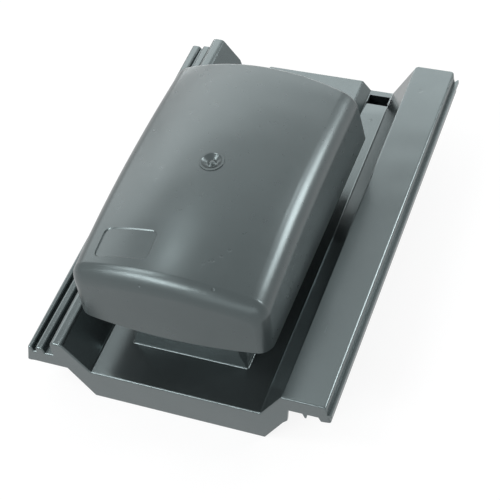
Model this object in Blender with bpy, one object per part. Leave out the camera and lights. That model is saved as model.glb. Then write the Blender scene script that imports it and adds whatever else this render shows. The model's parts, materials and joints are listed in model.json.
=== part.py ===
"""Static roof vent: an interlocking plastic roof tile with a duct upstand, an insect grille and a domed cowl.

Metres, +Z up, +X to the right as seen from the eaves, +Y up the roof. The tile is modelled from its left front
corner with the pan's upper face at height zero. An empty then moves all pieces so that the origin is the middle
of the part's footprint, on the surface that the apron and the hanging lugs stand on.
"""

import math

import bmesh
import bpy
from mathutils import Vector
from mathutils.geometry import delaunay_2d_cdt

# Tile, overall
TILE_LENGTH = 0.420
WALL = 0.003
APRON_DEPTH = 0.0392
FRONT_ROUND = 0.0016
HEAD_ROUND = 0.0010
HEAD_SETBACK = 0.009
LOCK_SETBACK = 0.003
SLOPE_END_RISE = 0.009

# Side lock on the left, from its foot to the third ridge
FOOT_OUT = 0.005
FOOT_DEPTH = 0.0015
LOCK_LEAN = 0.0012
RIDGE_1_ROUND = 0.0017
RIDGE_2_ROUND = 0.0024
RIDGE_1_START = 0.0012
RIDGE_1_WIDTH = 0.0038
RIDGE_1_HEIGHT = 0.020
GROOVE_WIDTH = 0.0026
GROOVE_HEIGHT = 0.0138
RIDGE_2_WIDTH = 0.0072
RIDGE_2_HEIGHT = 0.0215
CHANNEL_WIDTH = 0.0081
CHANNEL_HEIGHT = 0.0143
RIDGE_3_WIDTH = 0.0125
RIDGE_3_HEIGHT = 0.035
RIDGE_3_ROUND = 0.0055

# How the two small ridges spread and their grooves run out by the time they reach the head
RIDGE_1_SPREAD = 0.0050
RIDGE_1_HEAD_ROUND = 0.0032
GROOVE_NARROWING = 0.0010
GROOVE_RISE = 0.0035
RIDGE_2_SHIFT = 0.0052
CHANNEL_RISE = 0.0038

# Pan and roll
SLOPE_RUN = 0.0217
PAN_WIDTH = 0.1688
PAN_ROUND = 0.003
ROLL_SLOPE_RUN = 0.0238
ROLL_WIDTH = 0.041
ROLL_HEIGHT = 0.0355
ROLL_ROUND = 0.0022
ROLL_HEAD_ROUND = 0.004
ROLL_WALL_DROP = 0.0226
ROLL_WALL_LEAN = 0.0024
LIP_DROP = 0.0109
LIP_THICKNESS = 0.0035
LIP_REACH = 0.0042

# Front apron, seen from the eaves
APRON_SLOPE_RUN = 0.0204
APRON_INSET = 0.0036
APRON_RIGHT_RUN = 0.0218
APRON_RIGHT_RISE = 0.0055
APRON_TAB_HEIGHT = 0.0005
APRON_TAB_WIDTH = 0.0046
ROLL_SKIRT = 0.0175
RIB_WIDTH = 0.0044
RIB_TIP_WIDTH = 0.0014
RIB_DEPTH = 0.0242
RIB_PLACE = 0.0201
ROLL_BLOCK_WIDTH = 0.0085
ROLL_BLOCK_BEVEL = 0.0018

# Platform between the duct and the head
PLATFORM_WIDTH = 0.1225
PLATFORM_HEIGHT = 0.012
PLATFORM_SLOPE = 0.008
PLATFORM_ROUND = 0.002

# Duct upstand and the sleeve below it
DUCT_FRONT = 0.042
DUCT_WIDTH = 0.1143
DUCT_LENGTH = 0.190
DUCT_HEIGHT = 0.080
DUCT_DRAFT = 0.006
DUCT_CHAMFER = 0.005
DUCT_ROUND = 0.001
DUCT_FLARE = 0.0014
SLEEVE_DEPTH = 0.026

# Ledge, grille and bosses inside the duct
LEDGE_HEIGHT = 0.062
LEDGE_WIDTH = 0.004
LEDGE_THICKNESS = 0.003
GRILLE_THICKNESS = 0.0024
GRILLE_BORDER = 0.008
GRILLE_SLOT = 0.0039
GRILLE_BAR = 0.0022
GRILLE_ROWS = 4
BOSS_DIAMETER = 0.0122
BOSS_BORE = 0.0062
BOSS_BORE_DEPTH = 0.016
BOSS_INSET = 0.0042
CLEARANCE = 0.0003

# Hanging lugs at the head, cored from above
LUG_WIDTH = 0.0265
LUG_LENGTH = 0.0175
LUG_FRONT_OFFSET = 0.0225
LUG_WALL = 0.0022
LUG_FRONT_WALL = 0.0035
LUG_SIDE_OFFSET = 0.01095
RAMP_LENGTH = 0.0112
RAMP_DROP = 0.0015
RAMP_INSET = 0.0015
BATTEN_RIB_LENGTH = 0.046
BATTEN_RIB_DEPTH = 0.0185
RIB_THICKNESS = 0.0024
STIFFENER_DEPTH = 0.014

# Cowl
COWL_FRONT = 0.0185
COWL_LENGTH = 0.2705
COWL_WIDTH = 0.186
COWL_TOP = 0.141
COWL_FRONT_HEIGHT = 0.0585
COWL_REAR_HEIGHT = 0.049
COWL_WALL = 0.0028
COWL_CROWN = 0.014
COWL_FRONT_CROWN = 0.010
COWL_REAR_CROWN = 0.006
COWL_SIDE_ROUND = 0.022
COWL_END_ROUND = 0.012
COWL_FRONT_ROUND_RUN = 0.014
COWL_FRONT_ROUND_RISE = 0.018
COWL_CORNER = 0.012
COWL_REAR_ROUND = 0.0028
COWL_LEAST_ROUND = 0.0004
COWL_FRONT_LEAN = 0.07
COWL_REAR_LEAN = 0.19
COWL_FRONT_BULGE = 0.0075
COWL_REAR_BULGE = 0.007
GATE_FROM_FRONT = 0.140
GATE_OUTER = 0.024
GATE_INNER = 0.019
GATE_DEPTH = 0.0016
GATE_RIM = 0.0006
BADGE_WIDTH = 0.050
BADGE_LENGTH = 0.035
BADGE_CORNER = 0.006
BADGE_DEPTH = 0.0007
BADGE_FROM_SIDE = 0.0215
BADGE_FROM_FRONT = 0.0215
POST_DIAMETER = 0.0100

# Fineness of the curves
ROUND_STEPS = 3
EDGE_STEPS = 1
COWL_STEPS = 6
CIRCLE_STEPS = 24

# Places that follow from the sizes
RIDGE_1_END = RIDGE_1_START + RIDGE_1_WIDTH
GROOVE_START = RIDGE_1_END + LOCK_LEAN / 2
RIDGE_2_START = GROOVE_START + GROOVE_WIDTH + LOCK_LEAN
RIDGE_2_END = RIDGE_2_START + RIDGE_2_WIDTH
CHANNEL_START = RIDGE_2_END + LOCK_LEAN
CHANNEL_END = CHANNEL_START + CHANNEL_WIDTH
RIDGE_3_START = CHANNEL_END + LOCK_LEAN
RIDGE_3_END = RIDGE_3_START + RIDGE_3_WIDTH
PAN_START = RIDGE_3_END + SLOPE_RUN
PAN_END = PAN_START + PAN_WIDTH
ROLL_START = PAN_END + ROLL_SLOPE_RUN
ROLL_END = ROLL_START + ROLL_WIDTH
TILE_RIGHT = ROLL_END + LIP_REACH
ROLL_WALL_FOOT = ROLL_HEIGHT - ROLL_WALL_DROP
MIDDLE_X = (PAN_START + PAN_END) / 2
PAN_HEAD = TILE_LENGTH - HEAD_SETBACK
DUCT_REAR = DUCT_FRONT + DUCT_LENGTH
COWL_MIDDLE_Y = COWL_FRONT + COWL_LENGTH / 2

SLATE_GREY = (0.115, 0.135, 0.138)
MESH_BLACK = (0.030, 0.033, 0.035)


def clear_scene():
    for item in list(bpy.data.objects):
        bpy.data.objects.remove(item, do_unlink=True)


def plastic(name, colour, roughness):
    material = bpy.data.materials.new(name)
    material.use_nodes = True
    shader = material.node_tree.nodes["Principled BSDF"]
    shader.inputs["Base Color"].default_value = (*colour, 1.0)
    shader.inputs["Roughness"].default_value = roughness
    shader.inputs["Metallic"].default_value = 0.0
    return material


def mesh_object(name, vertices, faces, merge=1e-6):
    """One closed mesh with its faces pointing out."""
    mesh = bpy.data.meshes.new(name)
    mesh.from_pydata(vertices, [], faces)
    body = bmesh.new()
    body.from_mesh(mesh)
    bmesh.ops.remove_doubles(body, verts=body.verts, dist=merge)
    bmesh.ops.recalc_face_normals(body, faces=body.faces)
    body.to_mesh(mesh)
    body.free()
    item = bpy.data.objects.new(name, mesh)
    bpy.context.scene.collection.objects.link(item)
    return item


def cap(ring, start):
    """Triangles that close a ring across the tile, whose ends may lie at different distances from the eaves."""
    flat = [Vector((x, z)) for x, _, z in ring]
    result = delaunay_2d_cdt(flat, [], [list(range(len(ring)))], 1, 1e-9)
    sources = [origin[0] for origin in result[3]]
    return [tuple(start + sources[corner] for corner in face) for face in result[2]]


def loft(name, rings, uneven=False):
    """A closed body through rings of equally many points, with a cap at each end."""
    count = len(rings[0])
    last = (len(rings) - 1) * count
    vertices = [point for ring in rings for point in ring]
    if uneven:
        faces = cap(rings[0], 0) + cap(rings[-1], last)
    else:
        faces = [tuple(range(count)), tuple(range(last, last + count))]
    for row in range(len(rings) - 1):
        for step in range(count):
            a = row * count + step
            b = row * count + (step + 1) % count
            faces.append((a, b, b + count, a + count))
    return mesh_object(name, vertices, faces)


def block(name, low, high):
    """A plain box between two corners."""
    ring = [(low[0], low[1]), (high[0], low[1]), (high[0], high[1]), (low[0], high[1])]
    return loft(name, [[(x, y, z) for x, y in ring] for z in (low[2], high[2])])


def combine(target, tool, operation):
    """Joins a helper to the target or cuts the target with it. The helper stays as a hidden guide."""
    tool.hide_render = True
    tool.display_type = "WIRE"
    step = target.modifiers.new(tool.name, "BOOLEAN")
    step.operation = operation
    step.solver = "EXACT"
    step.object = tool


def turn_corner(before, corner, after, radius, steps):
    """Points of the arc that rounds a corner, or the corner itself when its radius is zero.
    Each neighbour is (x, y, radius), and a rounded neighbour keeps its half of the run between them."""
    corner = Vector(corner)
    back, ahead = Vector(before[:2]) - corner, Vector(after[:2]) - corner
    half = back.angle(ahead) / 2
    back_room = back.length * (0.48 if before[2] > 0.0 else 0.96)
    ahead_room = ahead.length * (0.48 if after[2] > 0.0 else 0.96)
    reach = min(radius / math.tan(half), back_room, ahead_room)
    if radius <= 0.0 or reach < 1e-6:
        return [tuple(corner)]
    radius = reach * math.tan(half)
    start, end = corner + back.normalized() * reach, corner + ahead.normalized() * reach
    centre = corner + (back.normalized() + ahead.normalized()).normalized() * (radius / math.sin(half))
    first, last = start - centre, end - centre
    sweep = first.angle_signed(last)
    points = []
    for step in range(steps + 1):
        angle = -sweep * step / steps
        cosine, sine = math.cos(angle), math.sin(angle)
        turned = (first.x * cosine - first.y * sine, first.x * sine + first.y * cosine)
        points.append((centre.x + turned[0], centre.y + turned[1]))
    return points


def rounded_path(corners, steps, closed=False):
    """Rounds each (x, y, radius) corner of a path."""
    points = []
    for index, (x, y, radius) in enumerate(corners):
        if not closed and index in (0, len(corners) - 1):
            points.append((x, y))
            continue
        before, after = corners[index - 1], corners[(index + 1) % len(corners)]
        points += turn_corner(before, (x, y), after, radius, steps)
    return points


def offset_path(points, distance):
    """Moves an open path to its right-hand side, keeping its corners."""
    moved = []
    for index, point in enumerate(points):
        sides = []
        for other in (index - 1, index + 1):
            if 0 <= other < len(points):
                a, b = (points[other], point) if other < index else (point, points[other])
                along = Vector((b[0] - a[0], b[1] - a[1])).normalized()
                sides.append(Vector((along.y, -along.x)))
        normal = sum(sides, Vector((0.0, 0.0))).normalized()
        stretch = 1.0 / max(normal.dot(sides[0]), 0.5)
        moved.append((point[0] + normal.x * distance * stretch, point[1] + normal.y * distance * stretch))
    return moved


def circle(centre, radius, steps):
    turn = 2 * math.pi / steps
    return [(centre[0] + radius * math.cos(k * turn), centre[1] + radius * math.sin(k * turn))
            for k in range(steps)]


def roll_wall_x(z):
    """The outer face of the roll's wall, which leans out as it falls."""
    return ROLL_END + ROLL_WALL_LEAN * (ROLL_HEIGHT - z) / ROLL_WALL_DROP


def upper_outline(share):
    """Corners of the tile's upper face across the tile, from the lock's foot to just below the roll's edge, at a
    share of the way from the eaves to the head."""
    spread = RIDGE_1_SPREAD * share
    floor_end = GROOVE_START + GROOVE_WIDTH + spread - GROOVE_NARROWING * share
    shift = RIDGE_2_SHIFT * share
    groove = GROOVE_HEIGHT + GROOVE_RISE * share
    channel = CHANNEL_HEIGHT + CHANNEL_RISE * share
    ridge_1_round = RIDGE_1_ROUND + (RIDGE_1_HEAD_ROUND - RIDGE_1_ROUND) * share
    arc = [ROLL_HEAD_ROUND * share for share in (0.65, 1.0)]
    return [
        (-FOOT_OUT, -FOOT_DEPTH, 0.0),
        (RIDGE_1_START, RIDGE_1_HEIGHT, ridge_1_round),
        (RIDGE_1_END + spread, RIDGE_1_HEIGHT, ridge_1_round),
        (GROOVE_START + spread, groove, 0.0),
        (floor_end, groove, 0.0),
        (RIDGE_2_START + shift, RIDGE_2_HEIGHT, RIDGE_2_ROUND),
        (RIDGE_2_END + shift, RIDGE_2_HEIGHT, RIDGE_2_ROUND),
        (CHANNEL_START + shift, channel, 0.0),
        (CHANNEL_END, channel, 0.0),
        (RIDGE_3_START, RIDGE_3_HEIGHT, RIDGE_3_ROUND),
        (RIDGE_3_END, RIDGE_3_HEIGHT, RIDGE_3_ROUND),
        (PAN_START - SLOPE_RUN * SLOPE_END_RISE / RIDGE_3_HEIGHT, SLOPE_END_RISE, 0.0),
        (PAN_START, 0.0, PAN_ROUND),
        (PAN_END, 0.0, PAN_ROUND),
        (ROLL_START, ROLL_HEIGHT, ROLL_ROUND),
        *[(ROLL_START + reach, ROLL_HEIGHT, 0.0) for reach in arc],
        *[(ROLL_END - reach, ROLL_HEIGHT, 0.0) for reach in reversed(arc)],
        (ROLL_END, ROLL_HEIGHT, ROLL_ROUND),
        (roll_wall_x(ROLL_HEIGHT - LIP_DROP / 2), ROLL_HEIGHT - LIP_DROP / 2, 0.0),
    ]


def roll_wall():
    """The roll's outer wall and its rain lip, down to the wall's foot."""
    lip_top = ROLL_HEIGHT - LIP_DROP
    lip_foot = lip_top - LIP_THICKNESS
    return [(roll_wall_x(lip_top), lip_top), (TILE_RIGHT, lip_top), (TILE_RIGHT, lip_foot),
            (roll_wall_x(lip_foot), lip_foot), (roll_wall_x(ROLL_WALL_FOOT), ROLL_WALL_FOOT)]


def core_corners():
    """Corners of the sheet without the small ridges, from which the underside is offset by the wall."""
    return [(-FOOT_OUT, -FOOT_DEPTH), (0.0, CHANNEL_HEIGHT), (RIDGE_3_START, CHANNEL_HEIGHT),
            (RIDGE_3_START, RIDGE_3_HEIGHT), (RIDGE_3_END, RIDGE_3_HEIGHT), (PAN_START, 0.0), (PAN_END, 0.0),
            (ROLL_START, ROLL_HEIGHT), (ROLL_END, ROLL_HEIGHT), (roll_wall_x(ROLL_WALL_FOOT), ROLL_WALL_FOOT)]


def lower_outlines():
    """The underside of the sheet and the lower edge of the front apron, with as many points each, so that the
    apron's back is the flat band between the two."""
    foot, rise, valley, up, crest, pan, pan_end, roll, roll_end, wall = offset_path(core_corners(), WALL)
    rib = ROLL_START + RIB_PLACE
    tip, root = RIB_TIP_WIDTH / 2, RIB_WIDTH / 2
    rib_foot = ROLL_HEIGHT - RIB_DEPTH
    ceiling = roll[1]
    halfway = ((pan_end[0] + roll[0]) / 2, (pan_end[1] + roll[1]) / 2)
    low = (SLOPE_END_RISE - WALL - pan[1]) / (crest[1] - pan[1])
    slope = (pan[0] + (crest[0] - pan[0]) * low, SLOPE_END_RISE - WALL)
    block_start = ROLL_END - ROLL_BLOCK_WIDTH
    sheet = [foot, rise, valley, up, crest, slope, pan, pan_end, halfway, roll, (roll[0] + WALL, ceiling),
             (rib - root, ceiling), (rib - tip, rib_foot), (rib + tip, rib_foot), (rib + root, ceiling),
             (block_start, ceiling), (block_start + ROLL_BLOCK_BEVEL, ceiling), roll_end, wall]
    apron_left = PAN_START - APRON_SLOPE_RUN - APRON_INSET
    apron_slope = (PAN_START - APRON_INSET - APRON_SLOPE_RUN * low,
                   -APRON_DEPTH + (APRON_DEPTH - FOOT_DEPTH) * low)
    tab_left = PAN_END - APRON_INSET / 4 + APRON_RIGHT_RUN
    tab_right = tab_left + APRON_TAB_WIDTH
    apron = [foot, (rise[0], -FOOT_DEPTH), (valley[0], -FOOT_DEPTH), (apron_left - WALL, -FOOT_DEPTH),
             (apron_left, -FOOT_DEPTH), apron_slope, (PAN_START - APRON_INSET, -APRON_DEPTH),
             (PAN_END - APRON_INSET / 4, -APRON_DEPTH), (tab_left, -APRON_RIGHT_RISE),
             (tab_right, -APRON_TAB_HEIGHT), (tab_right + WALL, ROLL_SKIRT),
             (rib - root, ROLL_SKIRT), (rib - tip, rib_foot), (rib + tip, rib_foot), (rib + root, ROLL_SKIRT),
             (block_start, ROLL_SKIRT), (block_start + ROLL_BLOCK_BEVEL, ROLL_WALL_FOOT - WALL / 3),
             (roll_end[0] - ROLL_BLOCK_BEVEL, ROLL_WALL_FOOT - WALL / 3), wall]
    return sheet, apron


def head_end(x, z):
    """How far up the roof the sheet reaches: least in the pan, most on the roll and the third ridge."""
    if x > ROLL_START:
        on_lip = x > TILE_RIGHT - LIP_REACH / 3
        edge = ROLL_HEAD_ROUND if on_lip else min(x - ROLL_START, max(ROLL_END - x, 0.0))
        short = max(ROLL_HEAD_ROUND - edge, 0.0)
        return TILE_LENGTH - ROLL_HEAD_ROUND + math.sqrt(ROLL_HEAD_ROUND ** 2 - short ** 2)
    if x > PAN_END:
        full, rise = TILE_LENGTH - ROLL_HEAD_ROUND, z / ROLL_HEIGHT
    else:
        full, rise = TILE_LENGTH - LOCK_SETBACK, z / SLOPE_END_RISE
    return PAN_HEAD + (full - PAN_HEAD) * min(max(rise, 0.0), 1.0)


def tile_sheet():
    """The tile's sheet and its front apron: sections across the tile, joined from the eaves to the head."""
    sheet, apron = lower_outlines()
    rings = []

    def add_ring(share, place, inset, lower):
        upper = offset_path(rounded_path(upper_outline(share), ROUND_STEPS), inset)
        upper += [(x - inset, z) for x, z in roll_wall()]
        ring = [(x, place(x, z), z) for x, z in upper]
        ring += [(x, place(x, z + WALL), z) for x, z in reversed(lower)]
        rings.append(ring)

    for step in range(ROUND_STEPS + 1):
        angle = math.pi / 2 * step / ROUND_STEPS
        y = FRONT_ROUND * (1 - math.cos(angle))
        add_ring(0.0, lambda x, z: y, FRONT_ROUND * (1 - math.sin(angle)), apron)
    add_ring(0.0, lambda x, z: WALL, 0.0, apron)
    add_ring(0.0, lambda x, z: WALL, 0.0, sheet)
    for step in range(ROUND_STEPS + 1):
        angle = math.pi / 2 * step / ROUND_STEPS
        back = HEAD_ROUND * (1 - math.sin(angle))
        add_ring(1.0, lambda x, z: head_end(x, z) - back, HEAD_ROUND * (1 - math.cos(angle)), sheet)
    return loft("base_tile", rings, uneven=True)


def platform(name, inset, low, start):
    """The hump between the duct and the head, or its hollow underside when inset by the wall."""
    half = PLATFORM_WIDTH / 2 - inset
    top = PLATFORM_HEIGHT - inset
    slope = PLATFORM_SLOPE * (top - low) / PLATFORM_HEIGHT
    radius = max(PLATFORM_ROUND - inset, 0.0)
    corners = [(MIDDLE_X - half, low, 0.0), (MIDDLE_X - half + slope, top, radius),
               (MIDDLE_X + half - slope, top, radius), (MIDDLE_X + half, low, 0.0)]
    path = rounded_path(corners, ROUND_STEPS)
    end = PAN_HEAD - HEAD_ROUND / 10 if inset == 0.0 else PAN_HEAD + WALL
    rings = [[(x, start, z) for x, z in path]]
    if inset == 0.0:
        for step in range(ROUND_STEPS + 1):
            angle = math.pi / 2 * step / ROUND_STEPS
            drop = HEAD_ROUND * (1 - math.cos(angle))
            back = HEAD_ROUND * (1 - math.sin(angle))
            rings.append([(x, end - back, z) for x, z in offset_path(path, drop)])
    else:
        rings.append([(x, end, z) for x, z in path])
    return loft(name, rings)


def duct_plan(z, inset):
    """The duct's plan at a height, with cut corners. It tapers upwards above the pan and is straight below it."""
    taper = DUCT_DRAFT * max(z, 0.0) / DUCT_HEIGHT + inset
    left, front = MIDDLE_X - DUCT_WIDTH / 2 + taper, DUCT_FRONT + taper
    right, rear = MIDDLE_X + DUCT_WIDTH / 2 - taper, DUCT_REAR - taper
    cut = max(DUCT_CHAMFER - inset * (2 - math.sqrt(2)), DUCT_ROUND)
    corners = [(left + cut, front), (right - cut, front), (right, front + cut), (right, rear - cut),
               (right - cut, rear), (left + cut, rear), (left, rear - cut), (left, front + cut)]
    path = rounded_path([(x, y, DUCT_ROUND) for x, y in corners], EDGE_STEPS, closed=True)
    return [(x, y, z) for x, y in path]


def duct_outside():
    rings = [duct_plan(-SLEEVE_DEPTH, 0.0), duct_plan(-DUCT_FLARE, 0.0)]
    for step in range(ROUND_STEPS + 1):
        angle = math.pi / 2 * step / ROUND_STEPS
        spread = DUCT_FLARE * (1 - math.sin(angle))
        rings.append(duct_plan(DUCT_FLARE * (1 - math.cos(angle)), -spread))
    rings.append(duct_plan(DUCT_HEIGHT, 0.0))
    return loft("duct_outside", rings)


def duct_inside(name, low, high, inset):
    return loft(name, [duct_plan(low, inset), duct_plan(0.0, inset), duct_plan(high, inset)] if low < 0.0
                else [duct_plan(low, inset), duct_plan(high, inset)])


def boss_places():
    """The middles of the four bosses inside the duct's corners."""
    reach = DUCT_DRAFT + WALL + BOSS_INSET
    xs = (MIDDLE_X - DUCT_WIDTH / 2 + reach, MIDDLE_X + DUCT_WIDTH / 2 - reach)
    ys = (DUCT_FRONT + reach, DUCT_REAR - reach)
    return [(x, y) for x in xs for y in ys]


def rod(name, place, radius, low, high):
    plan = circle(place, radius, CIRCLE_STEPS)
    return loft(name, [[(x, y, z) for x, y in plan] for z in (low, high)])


def lug_places():
    """The left edges of the two hanging lugs, one each side of the platform."""
    left = MIDDLE_X - PLATFORM_WIDTH / 2 - LUG_SIDE_OFFSET - LUG_WIDTH / 2
    right = MIDDLE_X + PLATFORM_WIDTH / 2 + LUG_SIDE_OFFSET - LUG_WIDTH / 2
    return left, right


def add_lugs(tile):
    """Two hooks that hang the tile on its batten. Each is a deep pocket cored from above."""
    front = PAN_HEAD - LUG_FRONT_OFFSET
    rear = front + LUG_LENGTH
    overlap = WALL / 2
    for side, left in zip(("left", "right"), lug_places()):
        right = left + LUG_WIDTH
        combine(tile, block("lug_" + side, (left, front, -APRON_DEPTH), (right, rear, -overlap)), "UNION")
        for edge, x in (("outer", left), ("inner", right - RIB_THICKNESS)):
            rib = block("batten_rib_" + edge + "_" + side, (x, front - BATTEN_RIB_LENGTH, -BATTEN_RIB_DEPTH),
                        (x + RIB_THICKNESS, front + overlap, -overlap))
            combine(tile, rib, "UNION")
        slot = front + LUG_FRONT_WALL
        ramp = [(front - RAMP_LENGTH, 0.0), (slot + overlap, -RAMP_DROP), (slot + overlap, WALL)]
        edges = (left + RAMP_INSET, right - RAMP_INSET)
        combine(tile, loft("ramp_" + side, [[(x, y, z) for y, z in ramp] for x in edges]), "DIFFERENCE")
        pocket = block("pocket_" + side, (left + LUG_WALL, slot, LUG_WALL - APRON_DEPTH),
                       (right - LUG_WALL, rear - LUG_WALL, WALL))
        combine(tile, pocket, "DIFFERENCE")


def add_stiffeners(tile):
    """Straight ribs under the pan, from the apron to the sleeve and from the sleeve to the head."""
    overlap = WALL / 2
    half = DUCT_WIDTH / 2 - DUCT_CHAMFER - RIB_THICKNESS
    for side, x in (("left", MIDDLE_X - half), ("right", MIDDLE_X + half - RIB_THICKNESS)):
        low = (x, WALL - overlap, -STIFFENER_DEPTH)
        high = (x + RIB_THICKNESS, DUCT_FRONT + overlap, -overlap)
        combine(tile, block("front_rib_" + side, low, high), "UNION")


def base_tile(material):
    tile = tile_sheet()
    combine(tile, platform("platform_top", 0.0, -WALL / 2, DUCT_REAR - WALL), "UNION")
    combine(tile, platform("platform_hollow", WALL, -2 * WALL, DUCT_REAR - WALL / 2), "DIFFERENCE")
    combine(tile, duct_outside(), "UNION")
    combine(tile, duct_inside("duct_lower", -SLEEVE_DEPTH - WALL, LEDGE_HEIGHT - LEDGE_THICKNESS, WALL),
            "DIFFERENCE")
    combine(tile, duct_inside("duct_ledge", LEDGE_HEIGHT - 2 * LEDGE_THICKNESS, LEDGE_HEIGHT + LEDGE_THICKNESS,
                              WALL + LEDGE_WIDTH), "DIFFERENCE")
    combine(tile, duct_inside("duct_mouth", LEDGE_HEIGHT, DUCT_HEIGHT + WALL, WALL), "DIFFERENCE")
    for index, place in enumerate(boss_places()):
        foot = LEDGE_HEIGHT - LEDGE_THICKNESS / 2
        boss = rod("boss_%d" % index, place, BOSS_DIAMETER / 2, foot, DUCT_HEIGHT)
        combine(tile, boss, "UNION")
    for index, place in enumerate(boss_places()):
        bore = rod("bore_%d" % index, place, BOSS_BORE / 2, DUCT_HEIGHT - BOSS_BORE_DEPTH, DUCT_HEIGHT + WALL)
        combine(tile, bore, "DIFFERENCE")
    add_lugs(tile)
    add_stiffeners(tile)
    tile.data.materials.append(material)
    return tile


def insect_grille(material):
    """A flat grille on the ledge, with its corners cut away for the bosses."""
    low_z = LEDGE_HEIGHT + CLEARANCE
    reach = WALL + CLEARANCE + DUCT_DRAFT * (low_z + GRILLE_THICKNESS) / DUCT_HEIGHT
    left, right = MIDDLE_X - DUCT_WIDTH / 2 + reach, MIDDLE_X + DUCT_WIDTH / 2 - reach
    front, rear = DUCT_FRONT + reach, DUCT_REAR - reach
    notch = BOSS_INSET + DUCT_DRAFT + WALL - reach + BOSS_DIAMETER / 2 + CLEARANCE
    inner_left, inner_right = left + notch + GRILLE_BORDER / 4, right - notch - GRILLE_BORDER / 4
    pitch = GRILLE_SLOT + GRILLE_BAR
    columns = int((inner_right - inner_left + GRILLE_BAR) / pitch)
    first = MIDDLE_X - (columns * pitch - GRILLE_BAR) / 2
    xs = [left, left + notch]
    for column in range(columns):
        xs += [first + column * pitch, first + column * pitch + GRILLE_SLOT]
    xs += [right - notch, right]
    row_length = (rear - front - 2 * GRILLE_BORDER - (GRILLE_ROWS - 1) * GRILLE_BORDER / 2) / GRILLE_ROWS
    ys = [front, front + notch]
    for row in range(GRILLE_ROWS):
        start = front + GRILLE_BORDER + row * (row_length + GRILLE_BORDER / 2)
        ys += [start, start + row_length]
    ys += [rear - notch, rear]
    xs, ys = sorted(xs), sorted(ys)
    slot_xs = {round(first + column * pitch, 7) for column in range(columns)}
    starts = [front + GRILLE_BORDER + row * (row_length + GRILLE_BORDER / 2) for row in range(GRILLE_ROWS)]

    def solid(column, row):
        x, y = (xs[column] + xs[column + 1]) / 2, (ys[row] + ys[row + 1]) / 2
        in_corner = min(x - left, right - x) < notch and min(y - front, rear - y) < notch
        in_slot = any(s < x < s + GRILLE_SLOT for s in slot_xs) and any(s < y < s + row_length for s in starts)
        return not in_corner and not in_slot

    grid = bmesh.new()
    made = {}

    def corner(column, row):
        if (column, row) not in made:
            made[column, row] = grid.verts.new((xs[column], ys[row], low_z))
        return made[column, row]

    for column in range(len(xs) - 1):
        for row in range(len(ys) - 1):
            if solid(column, row):
                grid.faces.new([corner(column, row), corner(column + 1, row),
                                corner(column + 1, row + 1), corner(column, row + 1)])
    bmesh.ops.dissolve_limit(grid, angle_limit=0.001, verts=grid.verts, edges=grid.edges)
    lifted = bmesh.ops.extrude_face_region(grid, geom=grid.faces[:])["geom"]
    top = [item for item in lifted if isinstance(item, bmesh.types.BMVert)]
    bmesh.ops.translate(grid, verts=top, vec=(0.0, 0.0, GRILLE_THICKNESS))
    bmesh.ops.recalc_face_normals(grid, faces=grid.faces)
    mesh = bpy.data.meshes.new("insect_grille")
    grid.to_mesh(mesh)
    grid.free()
    grille = bpy.data.objects.new("insect_grille", mesh)
    bpy.context.scene.collection.objects.link(grille)
    mesh.materials.append(material)
    return grille


def cowl_rim(y):
    """Height of the skirt's lower edge, which falls towards the head."""
    share = (y - COWL_FRONT) / COWL_LENGTH
    return COWL_FRONT_HEIGHT + (COWL_REAR_HEIGHT - COWL_FRONT_HEIGHT) * share


def cowl_crest(y):
    """Height of the cowl's highest line, crowned from front to back."""
    fall = COWL_FRONT_CROWN if y < COWL_MIDDLE_Y else COWL_REAR_CROWN
    return COWL_TOP - fall * ((y - COWL_MIDDLE_Y) / (COWL_LENGTH / 2)) ** 2


def cowl_section(half, crest, low, inset, side_round=COWL_SIDE_ROUND):
    """One cross-section: skirt, round shoulder and crowned roof, from the left rim to the right rim."""
    radius = side_round - inset
    width = half - inset
    crown = COWL_CROWN
    edge, slope = width, 0.0
    for _ in range(5):
        edge = width - radius + radius * math.sin(slope)
        slope = math.atan(2 * crown / edge)
    shoulder = crest - inset - crown - radius * math.cos(slope)
    right = [(width, low), (width, shoulder)]
    sweep = math.pi / 2 - slope
    for step in range(1, COWL_STEPS + 1):
        angle = sweep * step / COWL_STEPS
        right.append((width - radius + radius * math.cos(angle), shoulder + radius * math.sin(angle)))
    for step in range(1, COWL_STEPS + 1):
        x = edge * (1 - step / COWL_STEPS)
        right.append((x, crest - inset - crown * (x / edge) ** 2))
    left = [(-x, z) for x, z in right[:-1]]
    return left + right[::-1]


def cowl_front_face(x, z):
    """Distance up the roof of the front wall: it bulges in the middle and leans back as it rises."""
    return COWL_FRONT + COWL_FRONT_BULGE * (2 * x / COWL_WIDTH) ** 2 + COWL_FRONT_LEAN * (z - COWL_FRONT_HEIGHT)


def cowl_rear_face(x, z):
    """Distance up the roof of the rear wall, whose foot stands out behind its top edge."""
    middle = COWL_FRONT + COWL_LENGTH + COWL_REAR_BULGE
    shoulder = COWL_TOP - COWL_CROWN - COWL_SIDE_ROUND
    return middle - COWL_REAR_BULGE * (2 * x / COWL_WIDTH) ** 2 + COWL_REAR_LEAN * (shoulder - z)


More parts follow.
